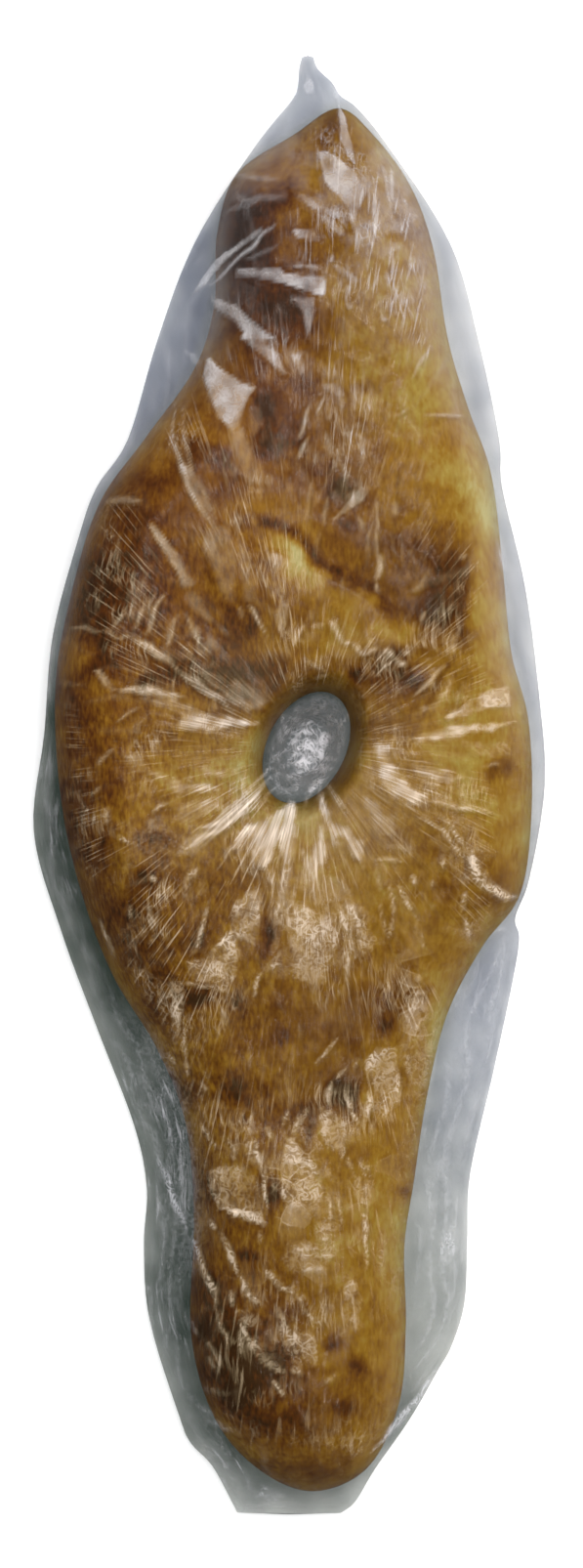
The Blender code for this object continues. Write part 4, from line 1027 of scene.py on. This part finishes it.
# %% Creases and crumples
PLEATS = 11
PLEAT_HEIGHT = 2.0
SMALL_PLEATS = 31
SMALL_PLEAT_HEIGHT = 0.35
PLEAT_INNER = 16.0  # the pleats grow from here, are full at the next and are gone at the last
PLEAT_FULL = 32.0
PLEAT_OUTER = 74.0


def triangle_wave(t):
    """0 to 1 and back in straight lines, once for each unit of t."""
    return np.abs(2 * (t - np.floor(t + 0.5)))


def crumple(x, y, length, seed):
    """Triangle waves in four directions, bent by slow waves: flat facets with sharp ridges between them."""
    draw = np.random.default_rng(seed)
    wx = x + 0.35 * length * rough(x, y, 2 * length, 5 * length, 5, seed + 1)
    wy = y + 0.35 * length * rough(x, y, 2 * length, 5 * length, 5, seed + 2)
    total = np.zeros(x.shape)
    for turn in draw.uniform(0, math.pi, 4):
        along = wx * math.cos(turn) + wy * math.sin(turn)
        total += triangle_wave(along / (length * draw.uniform(0.7, 1.5)))
    return total / 4


def loose_creases(x, y, count, seed):
    """Short tents at random places, within 40 degrees of the way to the steam hole."""
    draw = np.random.default_rng(seed)
    total = np.zeros(x.shape)
    for _ in range(count):
        cx, cy = draw.uniform(-85, 85), draw.uniform(-245, 245)
        turn = math.atan2(cy - HOLE_CENTRE[1], cx - HOLE_CENTRE[0]) + draw.normal(0, 0.35)
        half = draw.uniform(4, 16)
        dx, dy = half * math.cos(turn), half * math.sin(turn)
        bow, width, height = draw.normal(0, 1), draw.uniform(1.2, 2.6), draw.uniform(0.15, 0.55)
        total += tent(x, y, (cx - dx, cy - dy), (cx + dx, cy + dy), width, height, bow)
    return total


def pleats(x, y):
    """Round the hole, (1/2 + 1/2 cos(PLEATS turn))^2 for broad pleats + small triangle waves."""
    dx, dy = x - HOLE_CENTRE[0], y - HOLE_CENTRE[1]
    reach, turn = np.hypot(dx, dy), np.arctan2(dy, dx)
    wander = 1.6 * np.sin(2 * turn) + np.cos(turn)
    window = smooth_step(reach, PLEAT_INNER, PLEAT_FULL) * smooth_step(reach, PLEAT_OUTER, PLEAT_FULL)
    broad = (0.5 + 0.5 * np.cos(turn * PLEATS + wander)) ** 2
    small = triangle_wave(turn * SMALL_PLEATS / math.tau + 0.4 * wander)
    return window * (PLEAT_HEIGHT * broad + SMALL_PLEAT_HEIGHT * small)


# %% [markdown]
# ## The film's surface, laid out flat
# The bag is a tube that is closed at both ends. Each station along it is one loop of points: over the loaf
# from the left edge to the right, and back under it. The stations are closest beside the hole, where the
# folds are finest. All that follows is worked out for every point of this grid at once.

# %% The film's grid of places
STATIONS = 516
OVER_POINTS = 164
UNDER_POINTS = 28
FINE_FROM, FINE_TO = (0.325, -62), (0.675, 82)  # share of the stations, and the y that they have reached
DRAWN_OUT = 0.11  # moves the under points towards both edges

tail, tip = BAG_LEFT[0][0], BAG_LEFT[-1][0]
shares, reached = zip((0, tail), FINE_FROM, FINE_TO, (1, tip))
station = np.interp(np.linspace(0, 1, STATIONS), shares, reached)[:, None]
left = np.interp(station, bag_left_line[:, 0], bag_left_line[:, 1])
right = np.interp(station, bag_right_line[:, 0], bag_right_line[:, 1])
x = left + (right - left) * np.linspace(0, 1, OVER_POINTS)
even = np.linspace(0, 1, UNDER_POINTS)
x_under = right + (left - right) * (even - DRAWN_OUT * np.sin(math.tau * even))
y, y_under = station + 0 * x, station + 0 * x_under
to_loaf, to_bag = read_map(loaf_map, x, y), read_map(bag_map, x, y)
from_hole = hole_edge(x, y)
turn = np.arctan2(y - HOLE_CENTRE[1], x - HOLE_CENTRE[0])
reach = np.hypot(x - HOLE_CENTRE[0], y - HOLE_CENTRE[1])
on_loaf = smooth_step(to_loaf, 1, -5) * smooth_step(from_hole, 0, 6)
on_margin = smooth_step(to_loaf, 0, 8) * smooth_step(to_bag, 0, 6)
in_hole = smooth_step(from_hole, 0, -3)
print("film grid:", STATIONS, "stations of", OVER_POINTS + UNDER_POINTS, "points")

# %% [markdown]
# ## The film's height and haze
# Height and haze are built up together, because a crease is both: it stands up, and it scatters light. The
# settled map comes first, then the pleats and the listed folds, then the crumples. In the hole the film is
# wadded. Nothing may dip into the crust, so the last step lifts the film 0.3 mm clear of it.

# %% Folds, crumples and wads
FOLD_SHARE = 0.45  # how much of a listed fold's height it has as a form; all of it shows as haze, partly the film's whitening and partly painted highlight
FOLD_HAZE_AND_GLINT = 0.3
LOOSE_COUNT = 420
LOOSE_HEIGHT = 0.35
LOOSE_HAZE = 0.1
DRAWN_HEIGHT = 0.6
CRUMPLE_HEIGHT = 0.15
MEAN_HEIGHT = 0.35  # of those three together; it comes off again
MARGIN_WAVE = 0.7
MARGIN_CRUMPLE = 0.6
MARGIN_HAZE = 0.1
WAD_HEIGHT = 3
BELOW_PAINTED_HIGHLIGHT = 0.09
PATCH_HEIGHT = 0.9
CLEAR_OF_CRUST = 0.3
PATCHES = [  # x, y, half width, half height and haze of crumpled patches; the haze is a painted highlight on the crumples
    (0, -209, 26, 13, 0), (44, 80, 14, 14, 0), (17, 206, 9, 12, 0.05), (35, 206, 9, 20, 0.06),
    (30, 196, 9, 14, 0.05), (-6, 214, 18, 12, 0.03), (22, 108, 9, 15, 0.03), (24, 48, 16, 6, 0.05),
    (-15, 30, 8, 6, 0), (20, -52, 10, 12, 0.05), (44, -90, 6, 16, 0.05), (5, -131, 9, 16, 0.05),
    (14, -146, 6, 12, 0.05), (8, -160, 8, 4, 0.05), (-3, -190, 12, 10, 0.01), (22, -180, 4, 11, 0.05),
    (55, -158, 3, 7, 0.1), (30, 170, 14, 26, 0.03), (60, -22, 10, 12, 0.04), (-40, -20, 20, 10, 0.03),
    (7, 243, 1.5, 2.5, 0.2),
]

wave_x, wave_y = 0.5 * rough(x, y, 7, 18, 9, 96), 0.5 * rough(x, y, 7, 18, 9, 97)
folds = add_tents(x + wave_x, y + wave_y, FOLDS)
loose = loose_creases(x, y, LOOSE_COUNT, 12)
drawn = crumple(turn * 60, reach / 2.5, 9, 20)
wads = 0.75 * crumple(x, y, 5, 81) + 0.25 * crumple(x, y, 2.8, 83)
middle = bell(x, y, 8, 11, 6.5, 9)

top = read_map(film_map, x, y) + pleats(x, y) + FOLD_SHARE * folds
small = LOOSE_HEIGHT * loose + DRAWN_HEIGHT * drawn + CRUMPLE_HEIGHT * crumple(x, y, 6, 27)
top += on_loaf * (small - MEAN_HEIGHT)
lengthwise = triangle_wave(to_bag / 7 + 0.3 * rough(x, y, 30, 90, 5, 33))
top += on_margin * (MARGIN_WAVE * lengthwise + MARGIN_CRUMPLE * crumple(x, y, 22, 40))
top += in_hole * WAD_HEIGHT * wads

lengthwise = triangle_wave(to_bag / 6 + 0.6 * rough(x, y, 25, 80, 6, 34))
crease_and_glint = 0.003 + on_margin * (0.04 + MARGIN_HAZE * lengthwise**3)
crease_and_glint += FOLD_HAZE_AND_GLINT * np.clip(1.2 * folds, 0, 1.1) ** 1.5
crease_and_glint += LOOSE_HAZE * np.clip(loose - 0.1, 0, 1) * on_loaf
# the slope under the hole faces the light, so it gets a painted highlight, most of all at its lower right
below = 0.55 - 0.45 * np.sin(turn) - 0.5 * np.sin(turn) * np.cos(turn)
crease_and_glint += BELOW_PAINTED_HIGHLIGHT * below * smooth_step(reach, 17, 24) * smooth_step(reach, 62, 30) * on_loaf
# in the hole the film is haziest in the middle, and there it has a painted highlight on the crests of its
# wads
crease_and_glint += in_hole * (0.04 + 0.08 * smooth_step(y, 8, 24) + 0.28 * middle)
crease_and_glint += in_hole * (0.44 + 2.64 * middle) * np.clip(wads - 0.42, 0, 1)

for cx, cy, wide, tall, haze in PATCHES:
    spread = np.hypot((x - cx) / wide, (y - cy) / tall) + 0.25 * rough(x, y, 6, 16, 8, 71)
    patch = smooth_step(spread, 1.05, 0.75)
    top += patch * (PATCH_HEIGHT * crumple(x, y, 7, 72) - PATCH_HEIGHT / 3) * on_loaf
    crease_and_glint += haze * patch * (0.6 + 0.9 * crumple(x, y, 5, 75))

is_crust = (to_loaf < 0) & (from_hole > 0)
crust = np.where(is_crust, crust_height(x, y, np.clip(-to_loaf, 0, None)), 0)
lowest = np.where(crust > 0, crust + CLEAR_OF_CRUST, TUCK_HEIGHT / 2)
top = np.maximum(top, lowest)
print("the film's top is up to", round(float(top.max()), 1), "mm high")

# %% [markdown]
# ## Facets that catch a lamp
# A flat pane of film is a small mirror. It flashes only where its slope is half of the lamp's lean, so the
# film inside each listed outline is turned to that slope, and the lamps at the end of this file stand where
# these mirrors look. Painting the flashes white alone would keep them in place from every side, and that
# would look printed on, so each facet also gets only a share of white haze: a painted highlight.

# %% Facets
GLINT_LAMPS = [(58, 17, 0.65), (292, 18, 0.3), (125, 21, 0.5)]  # azimuth and lean in degrees, and watts
# each facet's share of white haze, a painted highlight
FACET_PAINTED_HIGHLIGHT = 0.28
FACET_LIFT = 3.5  # the most that a pane stands off the film round it, so that none is a fin on a steep side


def mirror_slope(azimuth, lean):
    """The slope that mirrors a lamp straight up: the tangent of half its lean, downhill towards it."""
    steep, way = math.tan(math.radians(lean / 2)), math.radians(azimuth)
    return -steep * np.array([math.cos(way), math.sin(way)])


def lay_facet(height, crease_and_glint, brightness, *corners):
    """Blends the film inside an outline into a plane that is turned towards a lamp's mirror slope, and adds a
    painted highlight to its haze.
    """
    outline = np.reshape(corners, (-1, 2)).astype(float)
    off_x, off_y = np.abs(x - outline[:, 0].mean()), np.abs(y - outline[:, 1].mean())
    near = (off_x < np.ptp(outline[:, 0]) / 2 + 4) & (off_y < np.ptp(outline[:, 1]) / 2 + 4)
    fx, fy, fz = x[near], y[near], height[near]
    to_hole = np.hypot(fx - HOLE_CENTRE[0], fy - HOLE_CENTRE[1])
    softer = smooth_step(to_hole, 75, 45)  # near the hole a facet's edge is blurred
    inside = -distance_outside(fx, fy, outline) + (0.15 + 0.35 * softer) * rough(fx, fy, 2.5, 8, 8, 93)
    soft = 0.5 + 0.7 * softer
    mask = smooth_step(inside, -soft, 0.8 * soft)
    core = inside > 0
    if core.sum() < 6:
        core = inside > -0.8
    mx, my = fx[core].mean(), fy[core].mean()
    plane = np.stack([fx[core] - mx, fy[core] - my, np.ones(core.sum())], axis=-1)
    slope = np.linalg.lstsq(plane, fz[core], rcond=None)[0]
    mirrors = [mirror_slope(azimuth, lean) for azimuth, lean, _ in GLINT_LAMPS]
    wanted = min(mirrors, key=lambda m: np.hypot(*(m - slope[:2])))
    gx, gy = slope[:2] + (wanted - slope[:2]) * min(brightness, 1)
    flat = slope[2] + gx * (fx - mx) + gy * (fy - my)
    flat += max(0, np.percentile((lowest[near] - flat)[core], 80))  # up, until most of it clears the crust
    flat = np.minimum(flat, fz + FACET_LIFT)
    height, crease_and_glint = height.copy(), crease_and_glint.copy()
    height[near] = fz * (1 - mask) + flat * mask
    from_tip = np.hypot(fx - outline[0, 0], fy - outline[0, 1])
    # the painted highlight is strongest near the hole and at the facet's first corner
    facet_highlight = FACET_PAINTED_HIGHLIGHT * (1 + 0.45 * smooth_step(to_hole, 80, 30))
    facet_highlight *= 1.15 - 0.55 * from_tip / from_tip[core].max()
    crease_and_glint[near] += facet_highlight * brightness * mask * (0.85 + 0.35 * rough(fx, fy, 4, 14, 8, 91))
    return height, crease_and_glint


for row in FACETS:
    top, crease_and_glint = lay_facet(top, crease_and_glint, *row)
top = np.maximum(top, lowest)
print("haze in the brightest facet:", round(float(crease_and_glint.max()), 2))

# %% [markdown]
# ## The underside, and both layers together
# Under the loaf the film lies flat and comes up to the bag's edge. It carries most of the grey: where the
# bag is loose, two layers with air between them look like smoke, and tinting the lower one alone leaves the
# crust its colour. Much of that grey is painted shade: darker on the left and beside the loaf, where the
# loaf would shade the table, and in the steam hole.

# %% The two layers
def film_under(to_loaf, to_bag):
    """The edge's height times the share of the way across the margin, to the power 1.6; 0 under the loaf."""
    start = np.clip(to_loaf + FLAT_MARGIN, 0, None)
    share = start / (start + to_bag + 1e-6)
    return (edge_height(to_loaf, to_bag) - EDGE_THICKNESS / 2) * share**1.6


base = film_under(read_map(loaf_map, x_under, y_under), read_map(bag_map, x_under, y_under))
upper_layer = np.stack([x, y, top], axis=-1)
lower_layer = np.stack([x_under, y_under, base], axis=-1)
skin = np.concatenate([upper_layer, lower_layer], axis=1)
px, py = skin[..., 0], skin[..., 1]
off_loaf, off_edge = read_map(loaf_map, px, py), read_map(bag_map, px, py)
off_hole = hole_edge(px, py)
is_over = np.arange(skin.shape[1]) < OVER_POINTS
print("film from", skin.min(axis=(0, 1)).round(1), "to", skin.max(axis=(0, 1)).round(1), "mm")

# %% How grey the film is, with its painted shade
SMOKE_AND_SHADE_LEFT = [  # y, and how grey both layers look together on the left, smoke and painted shade together
    (-253, 0.7), (-216, 0.9), (-190, 0.94), (-162, 0.96), (-141, 0.99), (-100, 0.95), (-84, 0.96),
    (-34, 1), (0, 0.98), (35, 0.92), (69, 0.82), (105, 0.66), (137, 0.72), (165, 0.74), (220, 0.62),
    (253, 0.52),
]
SMOKE_AND_SHADE_RIGHT = [
    (-253, 0.68), (-236, 0.66), (-222, 0.86), (-200, 0.62), (-186, 0.57), (-135, 0.6), (-100, 0.58),
    (-60, 0.58), (0, 0.52), (105, 0.5), (127, 0.46), (154, 0.45), (180, 0.46), (220, 0.58), (253, 0.57),
]
VEILS = [  # x, y, half width, half height, grey and haze of the upper layer over the loaf
    (-27, 170, 6, 24, 0.22, 0.07), (76, 60, 7, 34, 0, 0.05), (44, 180, 9, 28, 0, 0.05),
    (-20, 184, 17, 30, 0.24, 0.02), (-12, 222, 14, 8, 0.08, 0.05), (0, -246, 34, 10, 0.1, 0.04),
]
ON_THE_UPPER_LAYER = 0.08  # the upper layer's share of the grey
HOLE_SHADE = 0.9
HOLE_SHADE_PER_MM = 0.004  # greyer to the upper left
LEFT_RIM_SHADE = 0.07
FOLD_SHADE = 0.16
FOLD_SHADE_ASIDE = 1.1


def smoke_and_shade_level():
    """Painted shade and smoke: the side's value, darker beside the loaf and lighter at the bag's edge, with
    long and small waves.
    """
    side = smooth_step(px, -10, 10)
    left, right = (np.interp(py, *np.array(rows).T) for rows in (SMOKE_AND_SHADE_LEFT, SMOKE_AND_SHADE_RIGHT))
    level = left + (right - left) * side
    share = np.clip(off_loaf / (np.abs(off_loaf) + off_edge + 1e-6), 0, 1)
    level = level * (1.04 - 0.06 * side - (0.28 - 0.14 * side) * share**1.5)
    level += 0.05 * rough(off_edge * 3, py, 25, 60, 7, 51) + 0.03 * rough(px, py, 6, 18, 12, 52)
    return np.clip(level, 0, 1) * smooth_step(off_loaf, -5, -1.5)


# painted shade in the steam hole, darker towards its upper left
shade_in_hole = HOLE_SHADE - HOLE_SHADE_PER_MM * (px - HOLE_CENTRE[0]) + HOLE_SHADE_PER_MM * (py - HOLE_CENTRE[1])
smoke_and_shade = np.maximum(smoke_and_shade_level(), shade_in_hole * smooth_step(off_hole, 14, 8))
smoke_and_shade[:, is_over] *= ON_THE_UPPER_LAYER
# along the loaf's left outline the film leaves the crust: a grey line of painted shade, and a haze with two
# faint stretches
left_rim = smooth_step(to_loaf, -9, 0) * smooth_step(to_loaf, 9, 0) * smooth_step(x, 40, -20)
smoke_and_shade[:, is_over] += LEFT_RIM_SHADE * left_rim
left_rim *= 1 - 0.8 * smooth_step(y, 45, 15) * smooth_step(y, -95, -65)
left_rim *= 1 - 0.8 * smooth_step(y, -160, -180)
crease_and_glint += 0.02 * left_rim + 0.06 * left_rim**2
# on the right it leaves more gently, so the haze is 15 mm wide there
right_rim = smooth_step(to_loaf, -15, -1) * smooth_step(x, 15, 35) * smooth_step(to_loaf, 3, 0)
crease_and_glint += (0.03 + 0.07 * smooth_step(y, -20, 60)) * right_rim
for vx, vy, wide, tall, grey, haze in VEILS:
    veil = bell(x, y, vx, vy, wide, tall) * smooth_step(to_loaf, 2, -2)
    smoke_and_shade[:, is_over] += grey * veil
    crease_and_glint += haze * veil
# each fold has a thin dark side to its lower right
dark = add_tents(x + wave_x - FOLD_SHADE_ASIDE, y + wave_y + FOLD_SHADE_ASIDE, FOLDS)
smoke_and_shade[:, is_over] += FOLD_SHADE * np.clip(dark, 0, 1) * on_loaf
print("smoke from", round(float(smoke_and_shade.min()), 2), "to", round(float(smoke_and_shade.max()), 2))

# %% [markdown]
# ## Slack film and hair-fine creases
# Some of the film lies quite still on the crust, and some is covered in creases as fine as hairs. Both are
# too fine for the grid, so the grid only stores how much of each there is, and the material draws them.

# %% Slack and hairs
SLACK = [  # x, y, half width, half height and haze of slack panes
    (4, -145, 28, 34, 0.17), (0, -55, 45, 28, 0.06), (44, -86, 9, 22, 0.2), (20, 190, 40, 40, 0.05),
]
CALM = [  # x, y, half width and half height of still film
    (-16, 35, 10, 8), (50, 118, 20, 28), (48, 72, 12, 12), (-6, 126, 13, 20), (-8, 164, 12, 9),
    (-18, 188, 13, 14), (6, -150, 18, 26), (36, -180, 8, 40), (5, -90, 36, 13), (22, -208, 20, 16),
    (-22, 156, 12, 10), (-30, 10, 12, 8), (30, -10, 12, 10),
]
LIVELY = [  # the same for places with more hairs, and how many more
    (-56, -10, 20, 50, 0.5), (-20, -62, 30, 30, 0.4), (16, 90, 10, 30, 0.5),
]

slack = np.zeros(smoke_and_shade.shape)
slack[:, is_over] = sum(haze * bell(x, y, sx, sy, wide, tall) for sx, sy, wide, tall, haze in SLACK)
slack[:, is_over] *= on_loaf * smooth_step(rough(x, y, 14, 40, 9, 95), -0.6, 0.9)

hair = smooth_step(rough(px, py, 20, 60, 10, 61), -0.9, 0.6) * smooth_step(off_hole, 0, 5)
for cx, cy, wide, tall in CALM:
    hair *= 1 - 0.8 * bell(px, py, cx, cy, wide, tall, power=4)
for lx, ly, wide, tall, more in LIVELY:
    hair *= 1 + more * bell(px, py, lx, ly, wide, tall, power=4) * smooth_step(-off_loaf, 4, 10)
# beside the loaf: more of them at the lower left, fewer above and on the right; few along its outline
beside = smooth_step(off_loaf, 0, 3)
hair *= 1 + (0.6 - 0.9 * smooth_step(py, -95, -60)) * beside * smooth_step(px, 20, -20)
hair *= (1 - 0.7 * beside * smooth_step(py, 90, 120)) * (1 - 0.5 * beside * smooth_step(px, -20, 20))
hair *= 1 - 0.9 * smooth_step(off_loaf, -9, -2) * smooth_step(off_loaf, 2, 0)
hair[:, is_over] += 1.6 * in_hole * np.clip(middle * 1.3, 0, 1)
hair[:, ~is_over] = 0
print("hairs from 0 to", round(float(hair.max()), 2))

# %% [markdown]
# ## The bag
# The grid is closed with a fan of triangles at the tail and at the tip, because a surface with an open end
# would show its inside. Two of the stored maps steer the fine creases: their three numbers are a place
# in a noise, and where two of them change slowly along a line, the noise is drawn out along it.

# %% The bag's ends
rows, around = skin.shape[:2]
k = np.arange(around)
flat = skin.reshape(-1, 3)
points = np.vstack([flat, skin[0].mean(axis=0) - [0, 0.5, 0], skin[-1].mean(axis=0) + [0, 0.5, 0]])
tail_fan = np.stack([(k + 1) % around, k, np.full(around, len(flat))], axis=-1)
last = (rows - 1) * around
tip_fan = np.stack([last + k, last + (k + 1) % around, np.full(around, len(flat) + 1)], axis=-1)


def with_ends(values, tail_value=0.0, tip_value=0.0):
    """The grid's values as one row, with a value for the middle of each end after them."""
    return np.concatenate([values.ravel(), [tail_value, tip_value]])


margin = with_ends(np.where(is_over, smooth_step(off_loaf, -1, 1), 1), 1, 1)
from_edge = with_ends(off_edge, 1, 1)
haze_and_glint = np.full(smoke_and_shade.shape, 0.01)
haze_and_glint[:, is_over] = crease_and_glint
print("the bag has", len(points), "points")

# %% The bag
NEAR_THREADS, NEAR_LENGTH = 52, 12  # noise waves to a radian round the hole, and mm to a wave away from it
FAR_THREADS, FAR_LENGTH = 150, 15
EDGE_THREADS, EDGE_LENGTH = 0.9, 14  # to a mm away from the bag's edge, and mm to a wave along it
EDGE_NOISE_AT = 9  # any place in the noise that the other map doesn't use

x, y = points[:, 0], points[:, 1]
off_wall = hole_edge(x, y)
dx, dy = x - HOLE_CENTRE[0], y - HOLE_CENTRE[1]
reach = np.hypot(dx, dy) + 1e-6
round_hole = dx / reach, dy / reach
near_way = np.stack([*(NEAR_THREADS * way for way in round_hole), reach / NEAR_LENGTH], axis=-1)
far_way = np.stack([*(FAR_THREADS * way for way in round_hole), reach / FAR_LENGTH], axis=-1)
edge_way = np.stack([EDGE_THREADS * from_edge, y / EDGE_LENGTH, EDGE_NOISE_AT + 0 * reach], axis=-1)
far_way = np.where(margin[:, None] > 0.5, edge_way, far_way)
on_crust = with_ends(smooth_step(off_loaf, 0, -4) * smooth_step(off_hole, -2, 2))
inside_loaf = with_ends(smooth_step(off_loaf, 4, -2))
edge_veil = with_ends(smooth_step(-off_loaf, 15, 1) * smooth_step(px, 15, 35))
away_from_hole = 0.6 + 0.4 * smooth_step(reach, 15, 50)
crinkled = np.maximum(0.8 * smooth_step(y, 60, -20), 1.6 * smooth_step(off_wall, 1, -2))
make_piece(
    "film_bag",
    points,
    grid_faces(rows, around, closed_rows=False),
    np.vstack([tail_fan, tip_fan]),
    {
        "smoke_and_shade": with_ends(smoke_and_shade, 0.8, 0.5),
        "crease_and_glint": with_ends(haze_and_glint, 0.1, 0.1),
        "slack": with_ends(slack),
        "hair": with_ends(hair),
        "crinkled": 0.2 + crinkled,
        "upper": smooth_step(y + 1.6 * x, -120, 40) * (1 - 0.8 * inside_loaf),
        "near_hole": smooth_step(reach, 62, 46) * smooth_step(off_wall, -2, 3),
        "warmth": (0.15 + 0.85 * smooth_step(y, 150, 60) * away_from_hole) * on_crust,
        "golden_glint": on_crust * smooth_step(y, 180, 100) * (1 - 0.9 * edge_veil),
        "streaks_near": near_way,
        "streaks_far": far_way,
    },
    clear_film(),
)

# %% [markdown]
# ## Floor, light and camera
# The photograph was taken from straight above on white. A pale matt board stands in for the table. Soft
# light comes from a large lamp overhead and a smaller warm one. They light the crust and the haze alone,
# because mirrored in the film they would be large white blobs. Three small lamps do the opposite: they
# show only as glints in the facets that were turned to them.

# %% Floor
FLOOR_DROP = 0.4
FLOOR_HALF = 4.0  # metres
FLOOR_GLOW = 0.4


def white_floor():
    """Matt white board: a 90 % grey that glows a little, so that the loaf throws no dark shadow on it."""
    material, tree = new_material("matt_white_board")
    look = {"Base Color": linear("#f3f3f3"), "Roughness": 0.8, "IOR": 1.5, "Specular IOR Level": 0.1}
    look |= {"Emission Color": linear("#ffffff"), "Emission Strength": FLOOR_GLOW}
    shader = add_node(tree, "ShaderNodeBsdfPrincipled", look)
    add_node(tree, "ShaderNodeOutputMaterial", {"Surface": shader})
    return material


floor_mesh = bpy.data.meshes.new("floor")
signs = [(-1, -1), (1, -1), (1, 1), (-1, 1)]
corners = [(FLOOR_HALF * across, FLOOR_HALF * along, -FLOOR_DROP * MM) for across, along in signs]
floor_mesh.from_pydata(corners, [], [(0, 1, 2, 3)])
floor_mesh.materials.append(white_floor())
floor = bpy.data.objects.new("floor", floor_mesh)
bpy.context.scene.collection.objects.link(floor)
floor.visible_glossy = False
print("floor", 2 * FLOOR_HALF, "m wide,", FLOOR_DROP, "mm under the bag")


# %% Lamps
def softbox(name, azimuth, lean, watts, distance, size, shows_in, colour="#ffffff"):
    """A square lamp, in metres, that faces the loaf: lean degrees off straight up, to azimuth (0 is +X)."""
    lamp = bpy.data.lights.new(name, "AREA")
    lamp.shape = "SQUARE"
    lamp.size = size
    lamp.energy = watts
    lamp.color = linear(colour)[:3]
    holder = bpy.data.objects.new(name, lamp)
    turn, tip = math.radians(azimuth), math.radians(lean)
    aside = distance * math.sin(tip)
    holder.location = (aside * math.cos(turn), aside * math.sin(turn), distance * math.cos(tip))
    holder.rotation_euler = (0, tip, turn)
    holder.visible_camera = False
    holder.visible_diffuse = shows_in == "diffuse"
    holder.visible_glossy = shows_in == "glossy"
    bpy.context.scene.collection.objects.link(holder)
    return holder


softbox("overhead", 50, 12, 46, distance=1.9, size=2.2, shows_in="diffuse")
softbox("key", 40, 50, 13, distance=1.8, size=0.7, shows_in="diffuse", colour="#fffdfa")
for number, lamp in enumerate(GLINT_LAMPS):
    softbox(f"glint_{number}", *lamp, distance=1.5, size=0.15, shows_in="glossy")
print("lamps:", 2 + len(GLINT_LAMPS))

# %% World
world = bpy.data.worlds.new("studio")
world.use_nodes = True
tree = world.node_tree
tree.nodes.clear()
# Generated is the way that a ray goes, so its Z is 0 at the horizon and 1 straight up
direction = add_node(tree, "ShaderNodeTexCoord")
height = add_node(tree, "ShaderNodeSeparateXYZ", {0: direction.outputs["Generated"]})
ramp = add_node(tree, "ShaderNodeValToRGB", {"Fac": height.outputs["Z"]})
low, high = ramp.color_ramp.elements
low.position, low.color = 0.3, linear("#8b8e93")
high.position, high.color = 0.8, linear("#505152")
sky = add_node(tree, "ShaderNodeBackground", {"Color": ramp, "Strength": 1.0})
add_node(tree, "ShaderNodeOutputWorld", {"Surface": sky})
bpy.context.scene.world = world
world.cycles_visibility.glossy = False
print("world:", world.name)

# %% Camera
PICTURE_PIXELS = (597, 1605)
MM_PER_PIXEL = 0.34
CAMERA_HEIGHT = 3000.0
CAMERA_ASIDE = (0.85, 0.34)  # the picture's middle in mm, which isn't quite the loaf's
SENSOR = 36.0

camera_data = bpy.data.cameras.new("camera")
camera_data.sensor_width = SENSOR
camera_data.lens = SENSOR * CAMERA_HEIGHT / (PICTURE_PIXELS[1] * MM_PER_PIXEL)
camera_data.clip_end = 100
camera = bpy.data.objects.new("camera", camera_data)
camera.location = (CAMERA_ASIDE[0] * MM, CAMERA_ASIDE[1] * MM, CAMERA_HEIGHT * MM)
bpy.context.scene.collection.objects.link(camera)
bpy.context.scene.camera = camera
bpy.context.scene.view_settings.view_transform = "Standard"
print("lens", round(camera_data.lens), "mm")
